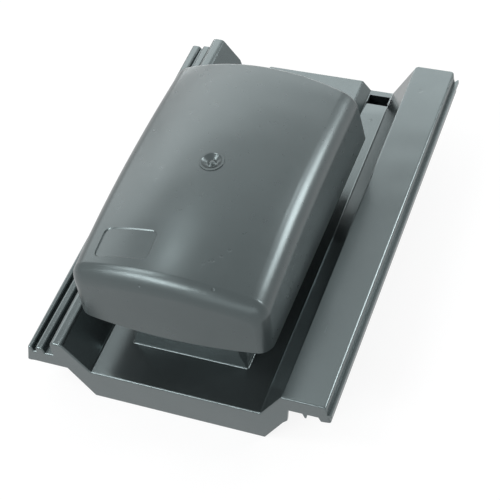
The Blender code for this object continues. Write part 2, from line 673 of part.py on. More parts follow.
def cowl_rows(inset):
    """Rows of points over the cowl, from the middle of the front wall over the roof to the middle of the rear."""
    half = COWL_WIDTH / 2
    run, rise = COWL_FRONT_ROUND_RUN - inset, COWL_FRONT_ROUND_RISE - inset
    corner = COWL_CORNER - inset
    rear_round = max(COWL_REAR_ROUND - inset, COWL_LEAST_ROUND)
    rows = []

    def place(section, face, along):
        return [(MIDDLE_X + x, face(x, z) + along, z) for x, z in section]

    def front_section(along):
        """The section at a distance behind the front wall, narrowed and lowered by its rounded edges."""
        side = max(1 - along / corner, 0.0)
        over = max(1 - along / run, 0.0)
        narrow = corner * (1 - math.sqrt(1 - side ** 2))
        lower = rise * (1 - math.sqrt(1 - over ** 2))
        y = COWL_FRONT + inset + along
        side_round = COWL_SIDE_ROUND + (COWL_END_ROUND - COWL_SIDE_ROUND) * side
        return cowl_section(half - narrow, cowl_crest(y) - lower, cowl_rim(COWL_FRONT), inset, side_round)

    wall = front_section(0.0)
    for step in range(COWL_STEPS + 1):
        share = step / COWL_STEPS
        rows.append(place([(x * share, z) for x, z in wall], cowl_front_face, inset))
    for step in range(1, 2 * COWL_STEPS + 1):
        along = corner * (1 - math.cos(math.pi / 2 * step / (2 * COWL_STEPS)))
        rows.append(place(front_section(along), cowl_front_face, inset + along))
    start, end = COWL_FRONT + COWL_CORNER, COWL_FRONT + COWL_LENGTH - COWL_REAR_ROUND
    for step in range(1, 2 * COWL_STEPS):
        share = step / (2 * COWL_STEPS)
        y = start + (end - start) * share
        section = cowl_section(half, cowl_crest(y), cowl_rim(y), inset)
        front = place(section, cowl_front_face, inset + corner)
        rear = place(section, cowl_rear_face, -inset - rear_round)
        rows.append([(a[0], a[1] + (b[1] - a[1]) * share, a[2]) for a, b in zip(front, rear)])
    end_y = COWL_FRONT + COWL_LENGTH
    for step in range(ROUND_STEPS + 1):
        angle = math.pi / 2 * step / ROUND_STEPS
        shrink = rear_round * (1 - math.cos(angle))
        back = rear_round * (1 - math.sin(angle))
        section = cowl_section(half, cowl_crest(end_y), cowl_rim(end_y), inset)
        keep = [section[0], *offset_path(section, shrink)[1:-1], section[-1]]
        keep[0] = (keep[0][0] + shrink, keep[0][1])
        keep[-1] = (keep[-1][0] - shrink, keep[-1][1])
        rows.append(place(keep, cowl_rear_face, -inset - back))
        wall = keep
    for step in range(1, COWL_STEPS + 1):
        share = 1 - step / COWL_STEPS
        rows.append(place([(x * share, z) for x, z in wall], cowl_rear_face, -inset))
    return rows


def cowl_shell():
    """The hood: an outer and an inner skin, joined along the skirt's lower edge."""
    outer, inner = cowl_rows(0.0), cowl_rows(COWL_WALL)
    rows, columns = len(outer), len(outer[0])
    vertices = [point for row in outer for point in row] + [point for row in inner for point in row]
    shift = rows * columns
    faces = []
    for row in range(rows - 1):
        for column in range(columns - 1):
            a = row * columns + column
            face = (a, a + 1, a + columns + 1, a + columns)
            faces.append(face)
            faces.append(tuple(shift + corner for corner in reversed(face)))
        for column in (0, columns - 1):
            a = row * columns + column
            faces.append((a, a + columns, a + columns + shift, a + shift))
    return mesh_object("cowl", vertices, faces)


def roof_height(x, y):
    """Height of the cowl's roof at a place, away from its rounded edges. The crest belongs to the straight
    length of the roof, so the place is first measured between the two bulged end walls."""
    across = x - MIDDLE_X
    edge = COWL_WIDTH / 2 - COWL_SIDE_ROUND + COWL_SIDE_ROUND * math.sin(math.atan(4 * COWL_CROWN / COWL_WIDTH))
    start = cowl_front_face(across, COWL_TOP - COWL_CROWN) + COWL_CORNER
    end = cowl_rear_face(across, COWL_TOP - COWL_CROWN) - COWL_REAR_ROUND
    share = (y - start) / (end - start)
    straight = COWL_LENGTH - COWL_CORNER - COWL_REAR_ROUND
    return cowl_crest(COWL_FRONT + COWL_CORNER + straight * share) - COWL_CROWN * (across / edge) ** 2


def add_posts(cowl):
    """Four posts inside the cowl: a shoulder that stands on the boss and a peg that plugs into its bore."""
    foot = DUCT_HEIGHT + CLEARANCE
    for index, place in enumerate(boss_places()):
        top = roof_height(*place) - COWL_WALL / 2
        combine(cowl, rod("post_%d" % index, place, POST_DIAMETER / 2, foot, top), "UNION")
        peg = rod("peg_%d" % index, place, BOSS_BORE / 2 - CLEARANCE,
                  DUCT_HEIGHT - BOSS_BORE_DEPTH + WALL, foot + WALL)
        combine(cowl, peg, "UNION")


def add_gate(cowl):
    """The moulding gate in the middle of the roof: a raised ring around a shallow dish."""
    middle = (MIDDLE_X, COWL_FRONT + GATE_FROM_FRONT)
    top = roof_height(*middle)

    def ring(radius, z):
        return [(x, y, z) for x, y in circle(middle, radius, CIRCLE_STEPS)]

    outer, inner = GATE_OUTER / 2, GATE_INNER / 2
    rim = loft("gate_ring", [ring(outer, top - COWL_WALL / 2), ring(outer - GATE_RIM, top + GATE_RIM),
                             ring(inner + GATE_RIM, top + GATE_RIM)])
    combine(cowl, rim, "UNION")
    floor = top - GATE_DEPTH
    dish = loft("gate_dish", [ring(inner * 0.75, floor), ring(inner * 0.93, floor + GATE_DEPTH / 3),
                              ring(inner, top + GATE_RIM), ring(inner, top + WALL)])
    combine(cowl, dish, "DIFFERENCE")


def add_badge_recess(cowl):
    """A bare, shallow, rounded recess near the front left corner that follows the roof's slope. Its cutter is
    lofted across the roof, one section at each distance from the side."""
    left = MIDDLE_X - COWL_WIDTH / 2 + BADGE_FROM_SIDE
    right = left + BADGE_WIDTH
    front = COWL_FRONT + BADGE_FROM_FRONT
    rear = front + BADGE_LENGTH
    angles = [math.pi / 2 * step / ROUND_STEPS for step in range(ROUND_STEPS + 1)]
    arc = [(BADGE_CORNER * (1 - math.cos(angle)), BADGE_CORNER * (1 - math.sin(angle))) for angle in angles]
    straight = [(BADGE_CORNER + (BADGE_WIDTH - 2 * BADGE_CORNER) * step / COWL_STEPS, 0.0)
                for step in range(1, COWL_STEPS)]
    stations = [(left + run, narrow) for run, narrow in arc + straight]
    stations += [(right - run, narrow) for run, narrow in reversed(arc)]
    rings = []
    for x, narrow in stations:
        ys = (front + narrow, rear - narrow)
        floor = [(x, y, roof_height(x, y) - BADGE_DEPTH) for y in ys]
        lid = [(x, y, roof_height(x, y) + 3 * BADGE_DEPTH) for y in reversed(ys)]
        rings.append(floor + lid)
    combine(cowl, loft("badge_recess", rings), "DIFFERENCE")


def cowl(material):
    hood = cowl_shell()
    add_posts(hood)
    add_gate(hood)
    add_badge_recess(hood)
    hood.data.materials.append(material)
    return hood


def main():
    clear_scene()
    frame = bpy.data.objects.new("tile_frame", None)
    bpy.context.scene.collection.objects.link(frame)
    frame.location = (-(TILE_RIGHT - FOOT_OUT) / 2, -TILE_LENGTH / 2, APRON_DEPTH)
    grey = plastic("slate_grey_plastic", SLATE_GREY, 0.36)
    black = plastic("grille_plastic", MESH_BLACK, 0.5)
    base_tile(grey)
    cowl(grey.copy())
    insect_grille(black)
    for item in list(bpy.data.objects):
        if item.type == "MESH":
            item.parent = frame
            item.data.shade_smooth()
            item.data.set_sharp_from_angle(angle=math.radians(35))


main()
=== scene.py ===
"""Looks of the static roof vent, in the same frame as its CAD part: metres, +Z up, +X right, +Y up the roof.

The tile and the cowl are made again here with finer curves, at the same sizes, and stand for the CAD nodes.
The insect grille keeps its CAD mesh. All plastics are procedural.
"""

import json
import math

import bmesh
import bpy
from mathutils import Matrix, Vector
from mathutils.geometry import delaunay_2d_cdt

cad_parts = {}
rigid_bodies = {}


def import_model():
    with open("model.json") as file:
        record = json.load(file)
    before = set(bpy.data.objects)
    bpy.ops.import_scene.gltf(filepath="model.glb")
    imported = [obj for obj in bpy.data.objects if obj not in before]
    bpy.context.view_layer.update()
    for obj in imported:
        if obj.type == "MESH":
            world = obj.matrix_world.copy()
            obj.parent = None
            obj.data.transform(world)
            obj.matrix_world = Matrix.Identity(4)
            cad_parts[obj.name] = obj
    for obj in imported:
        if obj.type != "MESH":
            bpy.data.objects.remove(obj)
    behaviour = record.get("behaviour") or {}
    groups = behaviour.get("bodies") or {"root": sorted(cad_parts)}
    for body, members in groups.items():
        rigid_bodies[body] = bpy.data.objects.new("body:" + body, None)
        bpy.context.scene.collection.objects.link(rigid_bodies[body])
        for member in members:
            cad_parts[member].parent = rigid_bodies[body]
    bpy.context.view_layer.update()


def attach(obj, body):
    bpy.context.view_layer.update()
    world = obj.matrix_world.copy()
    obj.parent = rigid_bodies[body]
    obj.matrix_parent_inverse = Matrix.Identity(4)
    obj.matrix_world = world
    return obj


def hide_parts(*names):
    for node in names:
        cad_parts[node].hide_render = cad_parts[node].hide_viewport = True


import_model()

# Tile, overall
TILE_LENGTH = 0.420
WALL = 0.003
APRON_DEPTH = 0.0392
FRONT_ROUND = 0.0016
HEAD_ROUND = 0.0010
HEAD_SETBACK = 0.009
LOCK_SETBACK = 0.003
SLOPE_END_RISE = 0.009

# Side lock on the left, from its foot to the third ridge
FOOT_OUT = 0.005
FOOT_DEPTH = 0.0015
LOCK_LEAN = 0.0012
RIDGE_1_ROUND = 0.0017
RIDGE_2_ROUND = 0.0024
RIDGE_1_START = 0.0012
RIDGE_1_WIDTH = 0.0038
RIDGE_1_HEIGHT = 0.020
GROOVE_WIDTH = 0.0026
GROOVE_HEIGHT = 0.0138
RIDGE_2_WIDTH = 0.0072
RIDGE_2_HEIGHT = 0.0215
CHANNEL_WIDTH = 0.0081
CHANNEL_HEIGHT = 0.0143
RIDGE_3_WIDTH = 0.0125
RIDGE_3_HEIGHT = 0.035
RIDGE_3_ROUND = 0.0055

# How the two small ridges spread and their grooves run out by the time they reach the head
RIDGE_1_SPREAD = 0.0050
RIDGE_1_HEAD_ROUND = 0.0032
GROOVE_NARROWING = 0.0010
GROOVE_RISE = 0.0035
RIDGE_2_SHIFT = 0.0052
CHANNEL_RISE = 0.0038

# Pan and roll
SLOPE_RUN = 0.0217
PAN_WIDTH = 0.1688
PAN_ROUND = 0.003
ROLL_SLOPE_RUN = 0.0238
ROLL_WIDTH = 0.041
ROLL_HEIGHT = 0.0355
ROLL_ROUND = 0.0022
ROLL_HEAD_ROUND = 0.004
ROLL_WALL_DROP = 0.0226
ROLL_WALL_LEAN = 0.0024
LIP_DROP = 0.0109
LIP_THICKNESS = 0.0035
LIP_REACH = 0.0042

# Front apron, seen from the eaves
APRON_SLOPE_RUN = 0.0204
APRON_INSET = 0.0036
APRON_RIGHT_RUN = 0.0218
APRON_RIGHT_RISE = 0.0055
APRON_TAB_HEIGHT = 0.0005
APRON_TAB_WIDTH = 0.0046
ROLL_SKIRT = 0.0175
RIB_WIDTH = 0.0044
RIB_TIP_WIDTH = 0.0014
RIB_DEPTH = 0.0242
RIB_PLACE = 0.0201
ROLL_BLOCK_WIDTH = 0.0085
ROLL_BLOCK_BEVEL = 0.0018

# Platform between the duct and the head
PLATFORM_WIDTH = 0.1225
PLATFORM_HEIGHT = 0.012
PLATFORM_SLOPE = 0.008
PLATFORM_ROUND = 0.002

# Duct upstand and the sleeve below it. Its corners' chamfer narrows to a share of itself at the foot.
DUCT_FRONT = 0.042
DUCT_WIDTH = 0.1143
DUCT_LENGTH = 0.190
DUCT_HEIGHT = 0.080
DUCT_DRAFT = 0.006
DUCT_CHAMFER = 0.005
DUCT_CHAMFER_RISE = 0.016
DUCT_CHAMFER_FOOT = 0.12
DUCT_ROUND = 0.001
DUCT_FLARE = 0.0014
SLEEVE_DEPTH = 0.026

# Ledge and bosses inside the duct
LEDGE_HEIGHT = 0.062
LEDGE_WIDTH = 0.004
LEDGE_THICKNESS = 0.003
BOSS_DIAMETER = 0.0122
BOSS_BORE = 0.0062
BOSS_BORE_DEPTH = 0.016
BOSS_INSET = 0.0042
CLEARANCE = 0.0003

# Hanging lugs at the head, cored from above
LUG_WIDTH = 0.0265
LUG_LENGTH = 0.0175
LUG_FRONT_OFFSET = 0.0225
LUG_WALL = 0.0022
LUG_FRONT_WALL = 0.0035
LUG_SIDE_OFFSET = 0.01095
RAMP_LENGTH = 0.0112
RAMP_DROP = 0.0015
RAMP_INSET = 0.0015
BATTEN_RIB_LENGTH = 0.046
BATTEN_RIB_DEPTH = 0.0185
RIB_THICKNESS = 0.0024
STIFFENER_DEPTH = 0.014

# Cowl
COWL_FRONT = 0.0185
COWL_LENGTH = 0.2705
COWL_WIDTH = 0.186
COWL_TOP = 0.141
COWL_FRONT_HEIGHT = 0.0585
COWL_REAR_HEIGHT = 0.049
COWL_WALL = 0.0028
COWL_CROWN = 0.014
COWL_FRONT_CROWN = 0.010
COWL_REAR_CROWN = 0.006
COWL_SIDE_ROUND = 0.022
COWL_END_ROUND = 0.012
COWL_FRONT_ROUND_RUN = 0.014
COWL_FRONT_ROUND_RISE = 0.018
COWL_CORNER = 0.012
COWL_REAR_ROUND = 0.0028
COWL_LEAST_ROUND = 0.0004
COWL_FRONT_LEAN = 0.07
COWL_REAR_LEAN = 0.19
COWL_FRONT_BULGE = 0.0075
COWL_REAR_BULGE = 0.007
GATE_FROM_FRONT = 0.140
GATE_OUTER = 0.024
GATE_INNER = 0.019
GATE_DEPTH = 0.0027
GATE_RIM = 0.0006
BADGE_WIDTH = 0.054
BADGE_LENGTH = 0.0305
BADGE_CORNER = 0.006
BADGE_DEPTH = 0.0008
BADGE_SLOPE = 0.0009
BADGE_FROM_SIDE = 0.0215
BADGE_FROM_FRONT = 0.026
POST_DIAMETER = 0.0100

# The gate's dish from its middle outwards: shares of its inner radius and of its depth
GATE_BOTTOM = ((0.08, 0.62), (0.20, 0.58), (0.30, 0.42), (0.38, 0.12), (0.45, 0.0), (0.55, 0.04),
               (0.93, 0.92))

# The badge recess's cutter: how far its side edges start above the roof as a share of the recess's depth, and
# how many slopes and depths its lid reaches out and up
BADGE_EDGE_LIFT = 0.06
BADGE_LID = 3

# Fineness of the curves
ROUND_STEPS = 8
EDGE_STEPS = 4
COWL_STEPS = 18
CIRCLE_STEPS = 72
ROLL_ARC_SHARES = (0.65, 1.0)
CREST_TRIES = 5

# Tolerances in metres, and how far a corner may reach along the runs beside it or stretch when it is offset
MERGE_DISTANCE = 1e-6
LEAST_REACH = 1e-6
FLAT_TOLERANCE = 1e-9
SHARED_RUN = 0.48
WHOLE_RUN = 0.96
LEAST_MITRE = 0.5

# Shading: the angle in degrees from which an edge is sharp, and how strongly large faces lead the normals
SHARP_ANGLE = 32
NORMAL_WEIGHT = 60

# Colours of the plastics
DARK = (0.0180, 0.0222, 0.0228)
PALE = (0.0240, 0.0295, 0.0303)
GRILLE_DARK = (0.012, 0.013, 0.014)
GRILLE_PALE = (0.016, 0.017, 0.018)
GLOSS_TINT = (0.82, 0.98, 1.0, 1.0)
# Near-black colour of the spots: painted shade in the dimples and the gate's slit, dark marks for the scuffs
SPOT_SHADE_AND_SCUFF_COLOUR = (0.004, 0.005, 0.005, 1.0)
SCUFF_BRIGHTNESS = 5.0

# Patterns of the plastics. Noise is (scale, detail, roughness, distortion) and a ramp is (low, high) in it.
MOTTLE_NOISE = (22.0, 6.0, 0.55, 0.0)
MOTTLE_RAMP = (0.35, 0.70)
MOTTLE_SHARE = 0.6
DUST_NOISE = (140.0, 8.0, 0.6, 0.0)
DUST_RAMP = (0.3, 0.75)
PATCH_NOISE = (9.0, 3.0, 0.5, 0.8)
PATCH_RAMP = (0.54, 0.72)
GRAIN_NOISE = (1500.0, 3.0, 0.5, 0.0)
WAVE_NOISE = (14.0, 1.0, 0.5, 0.0)
HAIRLINE_NOISE = (1.0, 2.0, 0.5, 0.0)

# The two ways that hairline scratches run: rotation, scale along each axis, low, high
HAIRLINES = (((0.2, 0.1, 0.9), (900.0, 22.0, 60.0), 0.70, 0.76),
             ((0.1, 0.3, 2.2), (700.0, 16.0, 50.0), 0.71, 0.78))

# What the patterns add to the roughness, and their heights in metres
DUST_ROUGHNESS = 0.04
PATCH_ROUGHNESS = 0.05
WORN_ROUGHNESS = 0.08
GRAIN_HEIGHT = 0.000010
WAVE_HEIGHT = 0.0009
WORN_DEPTH = 0.000022

# Small round spots: centre in the part's frame, radius, depth, and how much darker. On the tile's two dimples
# and the gate's slit the darkening is painted shade; the scuffs are darker marks
SPOT_EDGE = 0.0004
# The tile's two small dimples at the head: a shallow bump, with painted shade darkening them
TILE_DIMPLES_PAINTED_SHADE = (((0.0716, 0.1580, 0.0392), 0.0012, 0.0003, 0.30),
              ((0.1215, 0.1760, 0.0747), 0.0020, 0.0003, 0.35))
# The gate's slit: three overlapping spots with a shallow bump, darkened almost to black as painted shade
GATE_SLIT_PAINTED_SHADE = (((-0.0003, -0.0534, 0.1790), 0.0007, 0.0002, 0.9),
             ((0.0007, -0.0548, 0.1781), 0.0007, 0.0002, 0.9),
             ((0.0017, -0.0562, 0.1777), 0.0007, 0.0002, 0.9))
SCUFFS = (((0.0307, -0.1565, 0.1717), 0.0012, 0.00010, 0.3),
          ((0.0345, -0.1530, 0.1715), 0.0008, 0.00010, 0.4),
          ((0.0369, -0.1513, 0.1713), 0.0014, 0.00010, 0.3),
          ((0.0426, -0.1450, 0.1709), 0.0010, 0.00010, 0.4),
          ((0.0469, -0.1371, 0.1707), 0.0012, 0.00010, 0.3),
          ((-0.0192, -0.1848, 0.1609), 0.0010, 0.00015, 0.5),
          ((0.0456, -0.1761, 0.1653), 0.0013, 0.00015, 0.5))

# Floor, room and background
WHITE = (1.0, 1.0, 1.0, 1.0)
FLOOR_SIZE = 6.0
FLOOR_COLOUR = (0.84, 0.84, 0.84, 1.0)
FLOOR_ROUGHNESS = 0.9
FLOOR_SPECULAR = 0.1
FLOOR_WHITE_SHARE = 0.86
ROOM_COLOUR = (0.95, 0.98, 1.0, 1.0)
ROOM_STRENGTH = 0.50

# Camera of the photograph, in millimetres and metres
CAMERA_SENSOR = 36.0
CAMERA_LENS = 98.14
CAMERA_PLACE = (0.43391, -0.77719, 1.05439)
CAMERA_RIGHT = (0.9285, 0.3451, -0.1369)
CAMERA_UP = (-0.1876, 0.7544, 0.6291)

# Lamps: name, azimuth, elevation, distance, width, height, radiance. All of them face one point in the part.
LAMP_TARGET = (0.0, 0.0, 0.08)
LAMPS = (
    ("right_key", 34, 27, 1.9, 0.66, 0.72, 13.0),
    ("right_wide", 46, 43, 1.9, 0.6, 0.5, 2.5),
    ("right_high", 50, 50, 1.9, 0.16, 0.22, 14.0),
    ("back_wall", 108, 33, 2.0, 2.2, 0.9, 2.3),
    ("back_left", 156, 28, 1.9, 0.9, 0.90, 1.9),
    ("back_low", 112, 5, 2.0, 1.8, 0.25, 7.0),
    ("back_high", 110, 60, 1.9, 1.3, 0.6, 0.6),
    ("left_high", 147, 65, 1.9, 0.30, 0.20, 12.0),
    ("left_front", 212, 51, 1.9, 0.46, 0.50, 14.0),
    ("front_left", 242, 30, 1.9, 1.10, 0.32, 17.0),
    ("front_low", 285, 12, 2.0, 1.8, 0.7, 1.2),
)

# Places that follow from the sizes
RIDGE_1_END = RIDGE_1_START + RIDGE_1_WIDTH
GROOVE_START = RIDGE_1_END + LOCK_LEAN / 2
RIDGE_2_START = GROOVE_START + GROOVE_WIDTH + LOCK_LEAN
RIDGE_2_END = RIDGE_2_START + RIDGE_2_WIDTH
CHANNEL_START = RIDGE_2_END + LOCK_LEAN
CHANNEL_END = CHANNEL_START + CHANNEL_WIDTH
RIDGE_3_START = CHANNEL_END + LOCK_LEAN
RIDGE_3_END = RIDGE_3_START + RIDGE_3_WIDTH
PAN_START = RIDGE_3_END + SLOPE_RUN
PAN_END = PAN_START + PAN_WIDTH
ROLL_START = PAN_END + ROLL_SLOPE_RUN
ROLL_END = ROLL_START + ROLL_WIDTH
TILE_RIGHT = ROLL_END + LIP_REACH
ROLL_WALL_FOOT = ROLL_HEIGHT - ROLL_WALL_DROP
MIDDLE_X = (PAN_START + PAN_END) / 2
PAN_HEAD = TILE_LENGTH - HEAD_SETBACK
DUCT_REAR = DUCT_FRONT + DUCT_LENGTH
COWL_MIDDLE_Y = COWL_FRONT + COWL_LENGTH / 2


def mesh_object(name, vertices, faces):
    """One closed mesh with its faces pointing out."""
    mesh = bpy.data.meshes.new(name)
    mesh.from_pydata(vertices, [], faces)
    body = bmesh.new()
    body.from_mesh(mesh)
    bmesh.ops.remove_doubles(body, verts=body.verts, dist=MERGE_DISTANCE)
    bmesh.ops.recalc_face_normals(body, faces=body.faces)
    body.to_mesh(mesh)
    body.free()
    item = bpy.data.objects.new(name, mesh)
    bpy.context.scene.collection.objects.link(item)
    return item


def cap(ring, start):
    """Triangles that close a ring across the tile, whose points may differ in distance from the eaves."""
    flat = [Vector((x, z)) for x, _, z in ring]
    inside_only = 1
    result = delaunay_2d_cdt(flat, [], [list(range(len(ring)))], inside_only, FLAT_TOLERANCE)
    sources = [origin[0] for origin in result[3]]
    return [tuple(start + sources[corner] for corner in face) for face in result[2]]


def loft(name, rings, uneven=False):
    """A closed body through rings of equally many points, with a cap at each end."""
    count = len(rings[0])
    last = (len(rings) - 1) * count
    vertices = [point for ring in rings for point in ring]
    if uneven:
        faces = cap(rings[0], 0) + cap(rings[-1], last)
    else:
        faces = [tuple(range(count)), tuple(range(last, last + count))]
    for row in range(len(rings) - 1):
        for step in range(count):
            a = row * count + step
            b = row * count + (step + 1) % count
            faces.append((a, b, b + count, a + count))
    return mesh_object(name, vertices, faces)


def block(name, low, high):
    """A plain box between two corners."""
    ring = [(low[0], low[1]), (high[0], low[1]), (high[0], high[1]), (low[0], high[1])]
    return loft(name, [[(x, y, z) for x, y in ring] for z in (low[2], high[2])])


def combine(target, tool, operation):
    """Joins a helper to the target or cuts the target with it. The helper stays as a hidden guide."""
    tool.hide_render = True
    tool.display_type = "WIRE"
    step = target.modifiers.new(tool.name, "BOOLEAN")
    step.operation = operation
    step.solver = "EXACT"
    step.object = tool


def turn_corner(before, corner, after, radius, steps):
    """Points of the arc that rounds a corner, or the corner itself when its radius is zero.
    Each neighbour is (x, y, radius), and a rounded neighbour keeps its half of the run between them."""
    corner = Vector(corner)
    back, ahead = Vector(before[:2]) - corner, Vector(after[:2]) - corner
    half = back.angle(ahead) / 2
    back_room = back.length * (SHARED_RUN if before[2] > 0.0 else WHOLE_RUN)
    ahead_room = ahead.length * (SHARED_RUN if after[2] > 0.0 else WHOLE_RUN)
    reach = min(radius / math.tan(half), back_room, ahead_room)
    if radius <= 0.0 or reach < LEAST_REACH:
        return [tuple(corner)]
    radius = reach * math.tan(half)
    start, end = corner + back.normalized() * reach, corner + ahead.normalized() * reach
    centre = corner + (back.normalized() + ahead.normalized()).normalized() * (radius / math.sin(half))
    first, last = start - centre, end - centre
    sweep = first.angle_signed(last)
    points = []
    for step in range(steps + 1):
        angle = -sweep * step / steps
        cosine, sine = math.cos(angle), math.sin(angle)
        turned = (first.x * cosine - first.y * sine, first.x * sine + first.y * cosine)
        points.append((centre.x + turned[0], centre.y + turned[1]))
    return points


def rounded_path(corners, steps, closed=False):
    """Rounds each (x, y, radius) corner of a path."""
    points = []
    for index, (x, y, radius) in enumerate(corners):
        if not closed and index in (0, len(corners) - 1):
            points.append((x, y))
            continue
        before, after = corners[index - 1], corners[(index + 1) % len(corners)]
        points += turn_corner(before, (x, y), after, radius, steps)
    return points


def offset_path(points, distance):
    """Moves an open path to its right-hand side, keeping its corners."""
    moved = []
    for index, point in enumerate(points):
        sides = []
        for other in (index - 1, index + 1):
            if 0 <= other < len(points):
                a, b = (points[other], point) if other < index else (point, points[other])
                along = Vector((b[0] - a[0], b[1] - a[1])).normalized()
                sides.append(Vector((along.y, -along.x)))
        normal = sum(sides, Vector((0.0, 0.0))).normalized()
        stretch = 1.0 / max(normal.dot(sides[0]), LEAST_MITRE)
        moved.append((point[0] + normal.x * distance * stretch, point[1] + normal.y * distance * stretch))
    return moved


def circle(centre, radius, steps):
    """Points (x, y) of a circle."""
    turn = 2 * math.pi / steps
    return [(centre[0] + radius * math.cos(k * turn), centre[1] + radius * math.sin(k * turn))
            for k in range(steps)]


def roll_wall_x(z):
    """The outer face of the roll's wall, which leans out as it falls."""
    return ROLL_END + ROLL_WALL_LEAN * (ROLL_HEIGHT - z) / ROLL_WALL_DROP


def upper_outline(share):
    """Corners of the tile's upper face across the tile, from the lock's foot to just below the roll's edge.
    The share is how far up the tile they are, from the eaves to the head."""
    spread = RIDGE_1_SPREAD * share
    floor_end = GROOVE_START + GROOVE_WIDTH + spread - GROOVE_NARROWING * share
    shift = RIDGE_2_SHIFT * share
    groove = GROOVE_HEIGHT + GROOVE_RISE * share
    channel = CHANNEL_HEIGHT + CHANNEL_RISE * share
    ridge_1_round = RIDGE_1_ROUND + (RIDGE_1_HEAD_ROUND - RIDGE_1_ROUND) * share
    arc = [ROLL_HEAD_ROUND * part for part in ROLL_ARC_SHARES]
    return [
        (-FOOT_OUT, -FOOT_DEPTH, 0.0),
        (RIDGE_1_START, RIDGE_1_HEIGHT, ridge_1_round),
        (RIDGE_1_END + spread, RIDGE_1_HEIGHT, ridge_1_round),
        (GROOVE_START + spread, groove, 0.0),
        (floor_end, groove, 0.0),
        (RIDGE_2_START + shift, RIDGE_2_HEIGHT, RIDGE_2_ROUND),
        (RIDGE_2_END + shift, RIDGE_2_HEIGHT, RIDGE_2_ROUND),
        (CHANNEL_START + shift, channel, 0.0),
        (CHANNEL_END, channel, 0.0),
        (RIDGE_3_START, RIDGE_3_HEIGHT, RIDGE_3_ROUND),
        (RIDGE_3_END, RIDGE_3_HEIGHT, RIDGE_3_ROUND),
        (PAN_START - SLOPE_RUN * SLOPE_END_RISE / RIDGE_3_HEIGHT, SLOPE_END_RISE, 0.0),
        (PAN_START, 0.0, PAN_ROUND),
        (PAN_END, 0.0, PAN_ROUND),
        (ROLL_START, ROLL_HEIGHT, ROLL_ROUND),
        *[(ROLL_START + reach, ROLL_HEIGHT, 0.0) for reach in arc],
        *[(ROLL_END - reach, ROLL_HEIGHT, 0.0) for reach in reversed(arc)],
        (ROLL_END, ROLL_HEIGHT, ROLL_ROUND),
        (roll_wall_x(ROLL_HEIGHT - LIP_DROP / 2), ROLL_HEIGHT - LIP_DROP / 2, 0.0),
    ]


def roll_wall():
    """The roll's outer wall and its rain lip, down to the wall's foot."""
    lip_top = ROLL_HEIGHT - LIP_DROP
    lip_foot = lip_top - LIP_THICKNESS
    return [(roll_wall_x(lip_top), lip_top), (TILE_RIGHT, lip_top), (TILE_RIGHT, lip_foot),
            (roll_wall_x(lip_foot), lip_foot), (roll_wall_x(ROLL_WALL_FOOT), ROLL_WALL_FOOT)]


def core_corners():
    """Corners of the sheet without the small ridges, from which the underside is offset by the wall."""
    return [(-FOOT_OUT, -FOOT_DEPTH), (0.0, CHANNEL_HEIGHT), (RIDGE_3_START, CHANNEL_HEIGHT),
            (RIDGE_3_START, RIDGE_3_HEIGHT), (RIDGE_3_END, RIDGE_3_HEIGHT), (PAN_START, 0.0), (PAN_END, 0.0),
            (ROLL_START, ROLL_HEIGHT), (ROLL_END, ROLL_HEIGHT), (roll_wall_x(ROLL_WALL_FOOT), ROLL_WALL_FOOT)]


def lower_outlines():
    """The underside of the sheet and the lower edge of the front apron, with as many points each, so that the
    apron's back is the flat band between the two."""
    foot, rise, valley, up, crest, pan, pan_end, roll, roll_end, wall = offset_path(core_corners(), WALL)
    rib = ROLL_START + RIB_PLACE
    tip, root = RIB_TIP_WIDTH / 2, RIB_WIDTH / 2
    rib_foot = ROLL_HEIGHT - RIB_DEPTH
    ceiling = roll[1]
    halfway = ((pan_end[0] + roll[0]) / 2, (pan_end[1] + roll[1]) / 2)
    low = (SLOPE_END_RISE - WALL - pan[1]) / (crest[1] - pan[1])
    slope = (pan[0] + (crest[0] - pan[0]) * low, SLOPE_END_RISE - WALL)
    block_start = ROLL_END - ROLL_BLOCK_WIDTH
    sheet = [foot, rise, valley, up, crest, slope, pan, pan_end, halfway, roll, (roll[0] + WALL, ceiling),
             (rib - root, ceiling), (rib - tip, rib_foot), (rib + tip, rib_foot), (rib + root, ceiling),
             (block_start, ceiling), (block_start + ROLL_BLOCK_BEVEL, ceiling), roll_end, wall]
    apron_left = PAN_START - APRON_SLOPE_RUN - APRON_INSET
    apron_slope = (PAN_START - APRON_INSET - APRON_SLOPE_RUN * low,
                   -APRON_DEPTH + (APRON_DEPTH - FOOT_DEPTH) * low)
    tab_left = PAN_END - APRON_INSET / 4 + APRON_RIGHT_RUN
    tab_right = tab_left + APRON_TAB_WIDTH
    apron = [foot, (rise[0], -FOOT_DEPTH), (valley[0], -FOOT_DEPTH), (apron_left - WALL, -FOOT_DEPTH),
             (apron_left, -FOOT_DEPTH), apron_slope, (PAN_START - APRON_INSET, -APRON_DEPTH),
             (PAN_END - APRON_INSET / 4, -APRON_DEPTH), (tab_left, -APRON_RIGHT_RISE),
             (tab_right, -APRON_TAB_HEIGHT), (tab_right + WALL, ROLL_SKIRT),
             (rib - root, ROLL_SKIRT), (rib - tip, rib_foot), (rib + tip, rib_foot), (rib + root, ROLL_SKIRT),
             (block_start, ROLL_SKIRT), (block_start + ROLL_BLOCK_BEVEL, ROLL_WALL_FOOT - WALL / 3),
             (roll_end[0] - ROLL_BLOCK_BEVEL, ROLL_WALL_FOOT - WALL / 3), wall]
    return sheet, apron


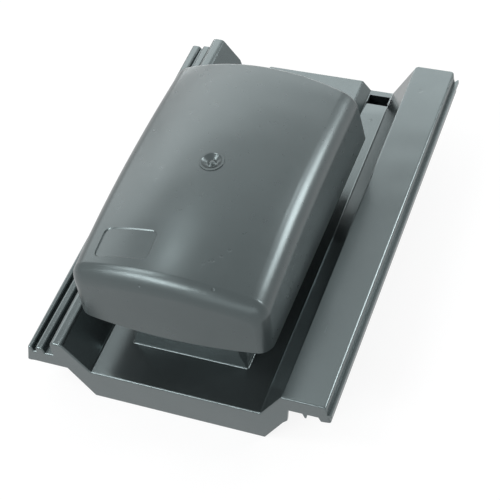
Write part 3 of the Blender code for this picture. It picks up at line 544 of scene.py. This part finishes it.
def head_end(x, z):
    """How far up the roof the sheet reaches: least in the pan, most on the roll and the third ridge."""
    if x > ROLL_START:
        on_lip = x > TILE_RIGHT - LIP_REACH / 3
        edge = ROLL_HEAD_ROUND if on_lip else min(x - ROLL_START, max(ROLL_END - x, 0.0))
        short = max(ROLL_HEAD_ROUND - edge, 0.0)
        return TILE_LENGTH - ROLL_HEAD_ROUND + math.sqrt(ROLL_HEAD_ROUND ** 2 - short ** 2)
    if x > PAN_END:
        full, rise = TILE_LENGTH - ROLL_HEAD_ROUND, z / ROLL_HEIGHT
    else:
        full, rise = TILE_LENGTH - LOCK_SETBACK, z / SLOPE_END_RISE
    return PAN_HEAD + (full - PAN_HEAD) * min(max(rise, 0.0), 1.0)


def tile_sheet():
    """The tile's sheet and its front apron: sections across the tile, joined from the eaves to the head."""
    sheet, apron = lower_outlines()
    rings = []

    def add_ring(share, place, inset, lower):
        """Adds the section at a share of the way up, each point set by place and the upper face inset."""
        upper = offset_path(rounded_path(upper_outline(share), ROUND_STEPS), inset)
        upper += [(x - inset, z) for x, z in roll_wall()]
        ring = [(x, place(x, z), z) for x, z in upper]
        ring += [(x, place(x, z + WALL), z) for x, z in reversed(lower)]
        rings.append(ring)

    for step in range(ROUND_STEPS + 1):
        angle = math.pi / 2 * step / ROUND_STEPS
        y = FRONT_ROUND * (1 - math.cos(angle))
        add_ring(0.0, lambda x, z: y, FRONT_ROUND * (1 - math.sin(angle)), apron)
    add_ring(0.0, lambda x, z: WALL, 0.0, apron)
    add_ring(0.0, lambda x, z: WALL, 0.0, sheet)
    for step in range(ROUND_STEPS + 1):
        angle = math.pi / 2 * step / ROUND_STEPS
        back = HEAD_ROUND * (1 - math.sin(angle))
        add_ring(1.0, lambda x, z: head_end(x, z) - back, HEAD_ROUND * (1 - math.cos(angle)), sheet)
    return loft("base_tile", rings, uneven=True)


def platform(name, inset, low, start):
    """The hump between the duct and the head, or its hollow underside when inset by the wall."""
    half = PLATFORM_WIDTH / 2 - inset
    top = PLATFORM_HEIGHT - inset
    slope = PLATFORM_SLOPE * (top - low) / PLATFORM_HEIGHT
    radius = max(PLATFORM_ROUND - inset, 0.0)
    corners = [(MIDDLE_X - half, low, 0.0), (MIDDLE_X - half + slope, top, radius),
               (MIDDLE_X + half - slope, top, radius), (MIDDLE_X + half, low, 0.0)]
    path = rounded_path(corners, ROUND_STEPS)
    end = PAN_HEAD - HEAD_ROUND / 10 if inset == 0.0 else PAN_HEAD + WALL
    rings = [[(x, start, z) for x, z in path]]
    if inset == 0.0:
        for step in range(ROUND_STEPS + 1):
            angle = math.pi / 2 * step / ROUND_STEPS
            drop = HEAD_ROUND * (1 - math.cos(angle))
            back = HEAD_ROUND * (1 - math.sin(angle))
            rings.append([(x, end - back, z) for x, z in offset_path(path, drop)])
    else:
        rings.append([(x, end, z) for x, z in path])
    return loft(name, rings)


def duct_plan(z, inset):
    """The duct's plan at a height, with cut corners. It tapers above the pan and is straight below it."""
    taper = DUCT_DRAFT * max(z, 0.0) / DUCT_HEIGHT + inset
    left, front = MIDDLE_X - DUCT_WIDTH / 2 + taper, DUCT_FRONT + taper
    right, rear = MIDDLE_X + DUCT_WIDTH / 2 - taper, DUCT_REAR - taper
    risen = min(max(z, 0.0) / DUCT_CHAMFER_RISE, 1.0)
    chamfer = DUCT_CHAMFER * (DUCT_CHAMFER_FOOT + (1 - DUCT_CHAMFER_FOOT) * risen)
    cut = max(chamfer - inset * (2 - math.sqrt(2)), DUCT_ROUND)
    corners = [(left + cut, front), (right - cut, front), (right, front + cut), (right, rear - cut),
               (right - cut, rear), (left + cut, rear), (left, rear - cut), (left, front + cut)]
    path = rounded_path([(x, y, DUCT_ROUND) for x, y in corners], EDGE_STEPS, closed=True)
    return [(x, y, z) for x, y in path]


def duct_outside():
    """The solid sleeve, flared foot and upstand, before they are hollowed."""
    rings = [duct_plan(-SLEEVE_DEPTH, 0.0), duct_plan(-DUCT_FLARE, 0.0)]
    for step in range(ROUND_STEPS + 1):
        angle = math.pi / 2 * step / ROUND_STEPS
        spread = DUCT_FLARE * (1 - math.sin(angle))
        rings.append(duct_plan(DUCT_FLARE * (1 - math.cos(angle)), -spread))
    rings.append(duct_plan(DUCT_CHAMFER_RISE, 0.0))
    rings.append(duct_plan(DUCT_HEIGHT, 0.0))
    return loft("duct_outside", rings)


def duct_inside(name, low, high, inset):
    """A length of the duct's hollow, with a ring at the pan where it starts below it."""
    levels = (low, 0.0, high) if low < 0.0 else (low, high)
    return loft(name, [duct_plan(z, inset) for z in levels])


def boss_places():
    """The middles of the four bosses inside the duct's corners."""
    reach = DUCT_DRAFT + WALL + BOSS_INSET
    xs = (MIDDLE_X - DUCT_WIDTH / 2 + reach, MIDDLE_X + DUCT_WIDTH / 2 - reach)
    ys = (DUCT_FRONT + reach, DUCT_REAR - reach)
    return [(x, y) for x in xs for y in ys]


def rod(name, place, radius, low, high):
    """An upright round bar."""
    plan = circle(place, radius, CIRCLE_STEPS)
    return loft(name, [[(x, y, z) for x, y in plan] for z in (low, high)])


def lug_places():
    """The left edges of the two hanging lugs, one each side of the platform."""
    left = MIDDLE_X - PLATFORM_WIDTH / 2 - LUG_SIDE_OFFSET - LUG_WIDTH / 2
    right = MIDDLE_X + PLATFORM_WIDTH / 2 + LUG_SIDE_OFFSET - LUG_WIDTH / 2
    return left, right


def add_lugs(tile):
    """Two hooks that hang the tile on its batten. Each is a deep pocket cored from above."""
    front = PAN_HEAD - LUG_FRONT_OFFSET
    rear = front + LUG_LENGTH
    overlap = WALL / 2
    for side, left in zip(("left", "right"), lug_places()):
        right = left + LUG_WIDTH
        combine(tile, block("lug_" + side, (left, front, -APRON_DEPTH), (right, rear, -overlap)), "UNION")
        for edge, x in (("outer", left), ("inner", right - RIB_THICKNESS)):
            rib = block("batten_rib_" + edge + "_" + side, (x, front - BATTEN_RIB_LENGTH, -BATTEN_RIB_DEPTH),
                        (x + RIB_THICKNESS, front + overlap, -overlap))
            combine(tile, rib, "UNION")
        slot = front + LUG_FRONT_WALL
        ramp = [(front - RAMP_LENGTH, 0.0), (slot + overlap, -RAMP_DROP), (slot + overlap, WALL)]
        edges = (left + RAMP_INSET, right - RAMP_INSET)
        combine(tile, loft("ramp_" + side, [[(x, y, z) for y, z in ramp] for x in edges]), "DIFFERENCE")
        pocket = block("pocket_" + side, (left + LUG_WALL, slot, LUG_WALL - APRON_DEPTH),
                       (right - LUG_WALL, rear - LUG_WALL, WALL))
        combine(tile, pocket, "DIFFERENCE")


def add_stiffeners(tile):
    """Straight ribs under the pan, from the apron to the sleeve."""
    overlap = WALL / 2
    half = DUCT_WIDTH / 2 - DUCT_CHAMFER - RIB_THICKNESS
    for side, x in (("left", MIDDLE_X - half), ("right", MIDDLE_X + half - RIB_THICKNESS)):
        low = (x, WALL - overlap, -STIFFENER_DEPTH)
        high = (x + RIB_THICKNESS, DUCT_FRONT + overlap, -overlap)
        combine(tile, block("front_rib_" + side, low, high), "UNION")


def base_tile(material):
    """The tile with its platform, duct, bosses, lugs and ribs."""
    tile = tile_sheet()
    combine(tile, platform("platform_top", 0.0, -WALL / 2, DUCT_REAR - WALL), "UNION")
    combine(tile, platform("platform_hollow", WALL, -2 * WALL, DUCT_REAR - WALL / 2), "DIFFERENCE")
    combine(tile, duct_outside(), "UNION")
    combine(tile, duct_inside("duct_lower", -SLEEVE_DEPTH - WALL, LEDGE_HEIGHT - LEDGE_THICKNESS, WALL),
            "DIFFERENCE")
    combine(tile, duct_inside("duct_ledge", LEDGE_HEIGHT - 2 * LEDGE_THICKNESS,
                              LEDGE_HEIGHT + LEDGE_THICKNESS, WALL + LEDGE_WIDTH), "DIFFERENCE")
    combine(tile, duct_inside("duct_mouth", LEDGE_HEIGHT, DUCT_HEIGHT + WALL, WALL), "DIFFERENCE")
    for index, place in enumerate(boss_places()):
        foot = LEDGE_HEIGHT - LEDGE_THICKNESS / 2
        boss = rod("boss_%d" % index, place, BOSS_DIAMETER / 2, foot, DUCT_HEIGHT)
        combine(tile, boss, "UNION")
    for index, place in enumerate(boss_places()):
        bore = rod("bore_%d" % index, place, BOSS_BORE / 2, DUCT_HEIGHT - BOSS_BORE_DEPTH, DUCT_HEIGHT + WALL)
        combine(tile, bore, "DIFFERENCE")
    add_lugs(tile)
    add_stiffeners(tile)
    tile.data.materials.append(material)
    return tile


def cowl_rim(y):
    """Height of the skirt's lower edge, which falls towards the head."""
    share = (y - COWL_FRONT) / COWL_LENGTH
    return COWL_FRONT_HEIGHT + (COWL_REAR_HEIGHT - COWL_FRONT_HEIGHT) * share


def cowl_crest(y):
    """Height of the cowl's highest line, crowned from front to back."""
    fall = COWL_FRONT_CROWN if y < COWL_MIDDLE_Y else COWL_REAR_CROWN
    return COWL_TOP - fall * ((y - COWL_MIDDLE_Y) / (COWL_LENGTH / 2)) ** 2


def cowl_section(half, crest, low, inset, side_round=COWL_SIDE_ROUND):
    """One cross-section: skirt, round shoulder and crowned roof, from the left rim to the right rim."""
    radius = side_round - inset
    width = half - inset
    crown = COWL_CROWN
    edge, slope = width, 0.0
    for _ in range(CREST_TRIES):
        edge = width - radius + radius * math.sin(slope)
        slope = math.atan(2 * crown / edge)
    shoulder = crest - inset - crown - radius * math.cos(slope)
    right = [(width, low), (width, shoulder)]
    sweep = math.pi / 2 - slope
    for step in range(1, COWL_STEPS + 1):
        angle = sweep * step / COWL_STEPS
        right.append((width - radius + radius * math.cos(angle), shoulder + radius * math.sin(angle)))
    for step in range(1, COWL_STEPS + 1):
        x = edge * (1 - step / COWL_STEPS)
        right.append((x, crest - inset - crown * (x / edge) ** 2))
    left = [(-x, z) for x, z in right[:-1]]
    return left + right[::-1]


def cowl_front_face(x, z):
    """Distance up the roof of the front wall: it bulges in the middle and leans back as it rises."""
    bulge = COWL_FRONT_BULGE * (2 * x / COWL_WIDTH) ** 2
    return COWL_FRONT + bulge + COWL_FRONT_LEAN * (z - COWL_FRONT_HEIGHT)


def cowl_rear_face(x, z):
    """Distance up the roof of the rear wall, whose foot stands out behind its top edge."""
    middle = COWL_FRONT + COWL_LENGTH + COWL_REAR_BULGE
    shoulder = COWL_TOP - COWL_CROWN - COWL_SIDE_ROUND
    return middle - COWL_REAR_BULGE * (2 * x / COWL_WIDTH) ** 2 + COWL_REAR_LEAN * (shoulder - z)


def cowl_rows(inset):
    """Rows of points over the cowl, from the middle of its front wall over the roof to that of its rear."""
    half = COWL_WIDTH / 2
    run, rise = COWL_FRONT_ROUND_RUN - inset, COWL_FRONT_ROUND_RISE - inset
    corner = COWL_CORNER - inset
    rear_round = max(COWL_REAR_ROUND - inset, COWL_LEAST_ROUND)
    rows = []

    def place(section, face, along):
        """The section's points, at a distance up the roof from the front or the rear wall."""
        return [(MIDDLE_X + x, face(x, z) + along, z) for x, z in section]

    def front_section(along):
        """The section at a distance behind the front wall, narrowed and lowered by its rounded edges."""
        side = max(1 - along / corner, 0.0)
        over = max(1 - along / run, 0.0)
        narrow = corner * (1 - math.sqrt(1 - side ** 2))
        lower = rise * (1 - math.sqrt(1 - over ** 2))
        y = COWL_FRONT + inset + along
        side_round = COWL_SIDE_ROUND + (COWL_END_ROUND - COWL_SIDE_ROUND) * side
        return cowl_section(half - narrow, cowl_crest(y) - lower, cowl_rim(COWL_FRONT), inset, side_round)

    wall = front_section(0.0)
    for step in range(COWL_STEPS + 1):
        share = step / COWL_STEPS
        rows.append(place([(x * share, z) for x, z in wall], cowl_front_face, inset))
    for step in range(1, 2 * COWL_STEPS + 1):
        along = corner * (1 - math.cos(math.pi / 2 * step / (2 * COWL_STEPS)))
        rows.append(place(front_section(along), cowl_front_face, inset + along))
    start, end = COWL_FRONT + COWL_CORNER, COWL_FRONT + COWL_LENGTH - COWL_REAR_ROUND
    for step in range(1, 2 * COWL_STEPS):
        share = step / (2 * COWL_STEPS)
        y = start + (end - start) * share
        section = cowl_section(half, cowl_crest(y), cowl_rim(y), inset)
        front = place(section, cowl_front_face, inset + corner)
        rear = place(section, cowl_rear_face, -inset - rear_round)
        rows.append([(a[0], a[1] + (b[1] - a[1]) * share, a[2]) for a, b in zip(front, rear)])
    end_y = COWL_FRONT + COWL_LENGTH
    for step in range(ROUND_STEPS + 1):
        angle = math.pi / 2 * step / ROUND_STEPS
        shrink = rear_round * (1 - math.cos(angle))
        back = rear_round * (1 - math.sin(angle))
        section = cowl_section(half, cowl_crest(end_y), cowl_rim(end_y), inset)
        keep = [section[0], *offset_path(section, shrink)[1:-1], section[-1]]
        keep[0] = (keep[0][0] + shrink, keep[0][1])
        keep[-1] = (keep[-1][0] - shrink, keep[-1][1])
        rows.append(place(keep, cowl_rear_face, -inset - back))
        wall = keep
    for step in range(1, COWL_STEPS + 1):
        share = 1 - step / COWL_STEPS
        rows.append(place([(x * share, z) for x, z in wall], cowl_rear_face, -inset))
    return rows


def cowl_shell():
    """The hood: an outer and an inner skin, joined along the skirt's lower edge."""
    outer, inner = cowl_rows(0.0), cowl_rows(COWL_WALL)
    rows, columns = len(outer), len(outer[0])
    vertices = [point for row in outer for point in row] + [point for row in inner for point in row]
    shift = rows * columns
    faces = []
    for row in range(rows - 1):
        for column in range(columns - 1):
            a = row * columns + column
            face = (a, a + 1, a + columns + 1, a + columns)
            faces.append(face)
            faces.append(tuple(shift + corner for corner in reversed(face)))
        for column in (0, columns - 1):
            a = row * columns + column
            faces.append((a, a + columns, a + columns + shift, a + shift))
    return mesh_object("cowl", vertices, faces)


def roof_height(x, y):
    """Height of the cowl's roof at a place, away from its rounded edges. The crest belongs to the straight
    length of the roof, so the place is first measured between the two bulged end walls."""
    across = x - MIDDLE_X
    slope = math.atan(4 * COWL_CROWN / COWL_WIDTH)
    edge = COWL_WIDTH / 2 - COWL_SIDE_ROUND + COWL_SIDE_ROUND * math.sin(slope)
    start = cowl_front_face(across, COWL_TOP - COWL_CROWN) + COWL_CORNER
    end = cowl_rear_face(across, COWL_TOP - COWL_CROWN) - COWL_REAR_ROUND
    share = (y - start) / (end - start)
    straight = COWL_LENGTH - COWL_CORNER - COWL_REAR_ROUND
    return cowl_crest(COWL_FRONT + COWL_CORNER + straight * share) - COWL_CROWN * (across / edge) ** 2


def add_posts(cowl):
    """Four posts inside the cowl: a shoulder that stands on the boss and a peg that plugs into its bore."""
    foot = DUCT_HEIGHT + CLEARANCE
    for index, place in enumerate(boss_places()):
        top = roof_height(*place) - COWL_WALL / 2
        combine(cowl, rod("post_%d" % index, place, POST_DIAMETER / 2, foot, top), "UNION")
        peg = rod("peg_%d" % index, place, BOSS_BORE / 2 - CLEARANCE,
                  DUCT_HEIGHT - BOSS_BORE_DEPTH + WALL, foot + WALL)
        combine(cowl, peg, "UNION")


def add_gate(cowl):
    """The moulding gate in the middle of the roof: a raised ring around a dish with a knob in its middle."""
    middle = (MIDDLE_X, COWL_FRONT + GATE_FROM_FRONT)
    top = roof_height(*middle)

    def ring(radius, z):
        """Points of a level circle around the gate."""
        return [(x, y, z) for x, y in circle(middle, radius, CIRCLE_STEPS)]

    outer, inner = GATE_OUTER / 2, GATE_INNER / 2
    rim = loft("gate_ring", [ring(outer, top - COWL_WALL / 2), ring(outer - GATE_RIM, top + GATE_RIM),
                             ring(inner + GATE_RIM, top + GATE_RIM)])
    combine(cowl, rim, "UNION")
    floor = top - GATE_DEPTH
    dish = loft("gate_dish", [ring(inner * share, floor + GATE_DEPTH * rise) for share, rise in GATE_BOTTOM]
                + [ring(inner, top + GATE_RIM), ring(inner, top + WALL)])
    combine(cowl, dish, "DIFFERENCE")


def add_badge_recess(cowl):
    """A bare, shallow, rounded recess with sloped edges near the front left corner, which follows the roof.
    Its cutter is lofted across the roof, one section at each distance from the side."""
    left = MIDDLE_X - COWL_WIDTH / 2 + BADGE_FROM_SIDE
    right = left + BADGE_WIDTH
    front = COWL_FRONT + BADGE_FROM_FRONT
    rear = front + BADGE_LENGTH
    angles = [math.pi / 2 * step / ROUND_STEPS for step in range(ROUND_STEPS + 1)]
    arc = [(BADGE_CORNER * (1 - math.cos(angle)), BADGE_CORNER * (1 - math.sin(angle))) for angle in angles]
    straight = [(BADGE_CORNER + (BADGE_WIDTH - 2 * BADGE_CORNER) * step / COWL_STEPS, 0.0)
                for step in range(1, COWL_STEPS)]
    stations = [(left + run, narrow) for run, narrow in arc + straight]
    stations += [(right - run, narrow) for run, narrow in reversed(arc)]
    rings = []
    for x, narrow in stations:
        depth = BADGE_DEPTH * (min(min(x - left, right - x) / BADGE_SLOPE, 1.0) - BADGE_EDGE_LIFT)
        low = (front + narrow + BADGE_SLOPE, rear - narrow - BADGE_SLOPE)
        high = (rear - narrow + BADGE_LID * BADGE_SLOPE, front + narrow - BADGE_LID * BADGE_SLOPE)
        floor = [(x, y, roof_height(x, y) - depth) for y in low]
        lid = [(x, y, roof_height(x, y) + BADGE_LID * BADGE_DEPTH) for y in high]
        rings.append(floor + lid)
    combine(cowl, loft("badge_recess", rings), "DIFFERENCE")


def cowl(material):
    """The hood with its posts, gate and badge recess."""
    hood = cowl_shell()
    add_posts(hood)
    add_gate(hood)
    add_badge_recess(hood)
    hood.data.materials.append(material)
    return hood


def bake(item, tools):
    """Turns an object's modifiers into its mesh, moves it to the part's frame and removes its helpers."""
    graph = bpy.context.evaluated_depsgraph_get()
    mesh = bpy.data.meshes.new_from_object(item.evaluated_get(graph))
    item.modifiers.clear()
    item.data = mesh
    mesh.transform(Matrix.Translation((-(TILE_RIGHT - FOOT_OUT) / 2, -TILE_LENGTH / 2, APRON_DEPTH)))
    for tool in tools:
        bpy.data.objects.remove(tool, do_unlink=True)
    mesh.shade_smooth()
    mesh.set_sharp_from_angle(angle=math.radians(SHARP_ANGLE))
    normals = item.modifiers.new("weighted_normals", "WEIGHTED_NORMAL")
    normals.keep_sharp = True
    normals.weight = NORMAL_WEIGHT


def made(build, material):
    """Runs one of the builders above and bakes what it made."""
    before = set(bpy.data.objects)
    item = build(material)
    tools = [other for other in bpy.data.objects if other not in before and other is not item]
    bake(item, tools)
    return item


def node(tree, kind, inputs=None, **settings):
    """A shader node with its settings, and its inputs set to values or linked to other sockets."""
    made_node = tree.nodes.new(kind)
    for name, value in settings.items():
        setattr(made_node, name, value)
    for name, value in (inputs or {}).items():
        socket = made_node.inputs[name]
        if isinstance(value, bpy.types.NodeSocket):
            tree.links.new(value, socket)
        else:
            socket.default_value = value
    return made_node


def math_node(tree, operation, first, second, clamp=False):
    """The result of a Math node, each side of which is a number or another node's output."""
    sides = {0: first, 1: second}
    return node(tree, "ShaderNodeMath", sides, operation=operation, use_clamp=clamp).outputs[0]


def mix_colour(tree, share, first, second):
    """The colour that lies a share of the way from the first to the second."""
    return node(tree, "ShaderNodeMix", {0: share, 6: first, 7: second}, data_type="RGBA").outputs[2]


def noise(tree, place, scale, detail, roughness, distortion):
    """Noise between nought and one over the part."""
    inputs = {"Vector": place, "Scale": scale, "Detail": detail, "Roughness": roughness,
              "Distortion": distortion}
    return node(tree, "ShaderNodeTexNoise", inputs).outputs["Fac"]


def ramp(tree, source, low, high):
    """Nought where the source is under the low level, one over the high level, and an even rise between."""
    item = node(tree, "ShaderNodeValToRGB", {"Fac": source})
    for element, place, level in zip(item.color_ramp.elements, (low, high), (0.0, 1.0)):
        element.position = place
        element.color = (level, level, level, 1.0)
    return item.outputs["Color"]


def hairlines(tree, place, rotation, scale, low, high):
    """Fine scratches that all run one way: noise drawn out along them, kept where it is highest."""
    drawn_out = node(tree, "ShaderNodeMapping", {"Vector": place, "Rotation": rotation, "Scale": scale})
    return ramp(tree, noise(tree, drawn_out.outputs[0], *HAIRLINE_NOISE), low, high)


def spot(tree, place, centre, radius):
    """One inside a round spot on the part, nought outside it, with a soft edge."""
    away = node(tree, "ShaderNodeVectorMath", {0: place, 1: centre}, operation="DISTANCE").outputs["Value"]
    share = math_node(tree, "SUBTRACT", radius + SPOT_EDGE, away)
    return math_node(tree, "DIVIDE", share, SPOT_EDGE, clamp=True)


def moulded_plastic(name, dark, pale, roughness, scuff, ior, spots=()):
    """Injection-moulded plastic with mottled colour, fine grain, faint sink waves and hairline scratches.
    Each spot is (centre, radius, depth, how much darker), and its darkening is painted shade where the spot
    stands for a dimple or a slit."""
    material = bpy.data.materials.new(name)
    material.use_nodes = True
    tree = material.node_tree
    shader = tree.nodes["Principled BSDF"]
    shader.inputs["Base Color"].default_value = (*dark, 1.0)
    shader.inputs["Roughness"].default_value = roughness
    shader.inputs["IOR"].default_value = ior
    shader.inputs["Specular Tint"].default_value = GLOSS_TINT
    place = node(tree, "ShaderNodeTexCoord").outputs["Object"]

    mottle = ramp(tree, noise(tree, place, *MOTTLE_NOISE), *MOTTLE_RAMP)
    dust = ramp(tree, noise(tree, place, *DUST_NOISE), *DUST_RAMP)
    patches = ramp(tree, noise(tree, place, *PATCH_NOISE), *PATCH_RAMP)
    scratches = math_node(tree, "MAXIMUM", *[hairlines(tree, place, *lines) for lines in HAIRLINES])
    worn = math_node(tree, "MULTIPLY", scratches, patches)

    share = math_node(tree, "MULTIPLY", mottle, MOTTLE_SHARE)
    colour = mix_colour(tree, share, (*dark, 1.0), (*pale, 1.0))
    scuffed = tuple(min(channel * SCUFF_BRIGHTNESS, 1.0) for channel in pale)
    colour = mix_colour(tree, math_node(tree, "MULTIPLY", worn, scuff), colour, (*scuffed, 1.0))

    rough = math_node(tree, "MULTIPLY", dust, DUST_ROUGHNESS)
    rough = math_node(tree, "ADD", rough, roughness - DUST_ROUGHNESS / 2)
    rough = math_node(tree, "ADD", rough, math_node(tree, "MULTIPLY", patches, PATCH_ROUGHNESS))
    rough = math_node(tree, "ADD", rough, math_node(tree, "MULTIPLY", worn, WORN_ROUGHNESS), clamp=True)

    height = math_node(tree, "MULTIPLY", noise(tree, place, *GRAIN_NOISE), GRAIN_HEIGHT)
    waves = math_node(tree, "MULTIPLY", noise(tree, place, *WAVE_NOISE), WAVE_HEIGHT)
    height = math_node(tree, "ADD", height, waves)
    height = math_node(tree, "SUBTRACT", height, math_node(tree, "MULTIPLY", worn, WORN_DEPTH))
    # Each spot sinks the surface a little and darkens its colour: painted shade for the dimples and the
    # gate's slit, dark marks for the scuffs
    for centre, radius, depth, darker in spots:
        inside = spot(tree, place, centre, radius)
        height = math_node(tree, "ADD", height, math_node(tree, "MULTIPLY", inside, -depth))
        colour = mix_colour(tree, math_node(tree, "MULTIPLY", inside, darker), colour, SPOT_SHADE_AND_SCUFF_COLOUR)
    bump = node(tree, "ShaderNodeBump", {"Height": height, "Distance": 1.0, "Strength": 1.0})

    tree.links.new(colour, shader.inputs["Base Color"])
    tree.links.new(rough, shader.inputs["Roughness"])
    tree.links.new(bump.outputs["Normal"], shader.inputs["Normal"])
    return material


def clothe(item, material):
    """Gives a piece that keeps its CAD mesh its only material."""
    item.data.materials.clear()
    item.data.materials.append(material)


def softbox(name, azimuth, elevation, distance, width, height, radiance):
    """A rectangular light that faces the part. Its direction is in degrees, azimuth from +X towards +Y."""
    light = bpy.data.lights.new(name, "AREA")
    light.shape = "RECTANGLE"
    light.size, light.size_y = width, height
    light.energy = radiance * width * height * math.pi
    item = bpy.data.objects.new(name, light)
    around, up = math.radians(azimuth), math.radians(elevation)
    away = Vector((math.cos(up) * math.cos(around), math.cos(up) * math.sin(around), math.sin(up)))
    item.location = Vector(LAMP_TARGET) + away * distance
    item.rotation_euler = away.to_track_quat("Z", "Y").to_euler()
    bpy.context.scene.collection.objects.link(item)


def seen_ray(tree):
    """One for the rays that show the background: straight from the camera, mirrored or passed through."""
    path = node(tree, "ShaderNodeLightPath")
    seen = math_node(tree, "MAXIMUM", path.outputs["Is Camera Ray"], path.outputs["Is Transmission Ray"])
    return math_node(tree, "MAXIMUM", seen, path.outputs["Is Glossy Ray"])


def floor_material():
    """Pale and matt for the light that falls on it, nearly white to the eye, and the shadow stays on it."""
    material = bpy.data.materials.new("pale_floor")
    material.use_nodes = True
    tree = material.node_tree
    shader = tree.nodes["Principled BSDF"]
    shader.inputs["Base Color"].default_value = FLOOR_COLOUR
    shader.inputs["Roughness"].default_value = FLOOR_ROUGHNESS
    shader.inputs["Specular IOR Level"].default_value = FLOOR_SPECULAR
    white = node(tree, "ShaderNodeEmission", {"Color": WHITE, "Strength": 1.0})
    share = math_node(tree, "MULTIPLY", seen_ray(tree), FLOOR_WHITE_SHARE)
    both = node(tree, "ShaderNodeMixShader", {0: share, 1: shader.outputs[0], 2: white.outputs[0]})
    tree.links.new(both.outputs[0], tree.nodes["Material Output"].inputs["Surface"])
    return material


def floor(size, material):
    """A square floor under the part, which belongs to the scene and not to the part."""
    mesh = bpy.data.meshes.new("floor")
    half = size / 2
    mesh.from_pydata([(-half, -half, 0.0), (half, -half, 0.0), (half, half, 0.0), (-half, half, 0.0)], [],
                     [(0, 1, 2, 3)])
    item = bpy.data.objects.new("floor", mesh)
    bpy.context.scene.collection.objects.link(item)
    mesh.materials.append(material)


def world():
    """White behind the object, a dim even room for everything else."""
    made_world = bpy.data.worlds.new("studio")
    bpy.context.scene.world = made_world
    made_world.use_nodes = True
    tree = made_world.node_tree
    tree.nodes.clear()
    room = node(tree, "ShaderNodeBackground", {"Color": ROOM_COLOUR, "Strength": ROOM_STRENGTH})
    white = node(tree, "ShaderNodeBackground", {"Color": WHITE, "Strength": 1.0})
    both = node(tree, "ShaderNodeMixShader", {0: seen_ray(tree), 1: room.outputs[0], 2: white.outputs[0]})
    node(tree, "ShaderNodeOutputWorld", {"Surface": both.outputs[0]})


def camera():
    """The photograph's own view, found by fitting the tile's edges in it."""
    data = bpy.data.cameras.new("photo_camera")
    data.sensor_width = CAMERA_SENSOR
    data.lens = CAMERA_LENS
    item = bpy.data.objects.new("photo_camera", data)
    right, up = Vector(CAMERA_RIGHT).normalized(), Vector(CAMERA_UP).normalized()
    back = right.cross(up)
    turn = Matrix((right, up, back)).transposed().to_4x4()
    item.matrix_world = Matrix.Translation(CAMERA_PLACE) @ turn
    bpy.context.scene.collection.objects.link(item)
    bpy.context.scene.camera = item


tile_plastic = moulded_plastic("slate_plastic_tile", DARK, PALE,
                               roughness=0.21, scuff=0.08, ior=1.90, spots=TILE_DIMPLES_PAINTED_SHADE)
cowl_plastic = moulded_plastic("slate_plastic_cowl", DARK, PALE,
                               roughness=0.29, scuff=0.11, ior=1.70, spots=GATE_SLIT_PAINTED_SHADE + SCUFFS)
grille_plastic = moulded_plastic("grille_plastic_fine", GRILLE_DARK, GRILLE_PALE,
                                 roughness=0.50, scuff=0.05, ior=1.58)

tile = made(base_tile, tile_plastic)
tile.name = "tile_moulding"
hood = made(cowl, cowl_plastic)
hood.name = "cowl_moulding"
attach(tile, "root")
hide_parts("base_tile")
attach(hood, "root")
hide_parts("cowl")
for item in bpy.data.objects:
    if item.type == "MESH" and item.name.startswith("insect_grille"):
        clothe(item, grille_plastic)

world()
camera()
floor(FLOOR_SIZE, floor_material())
for lamp in LAMPS:
    softbox(*lamp)

bpy.context.scene.view_settings.view_transform = "Standard"
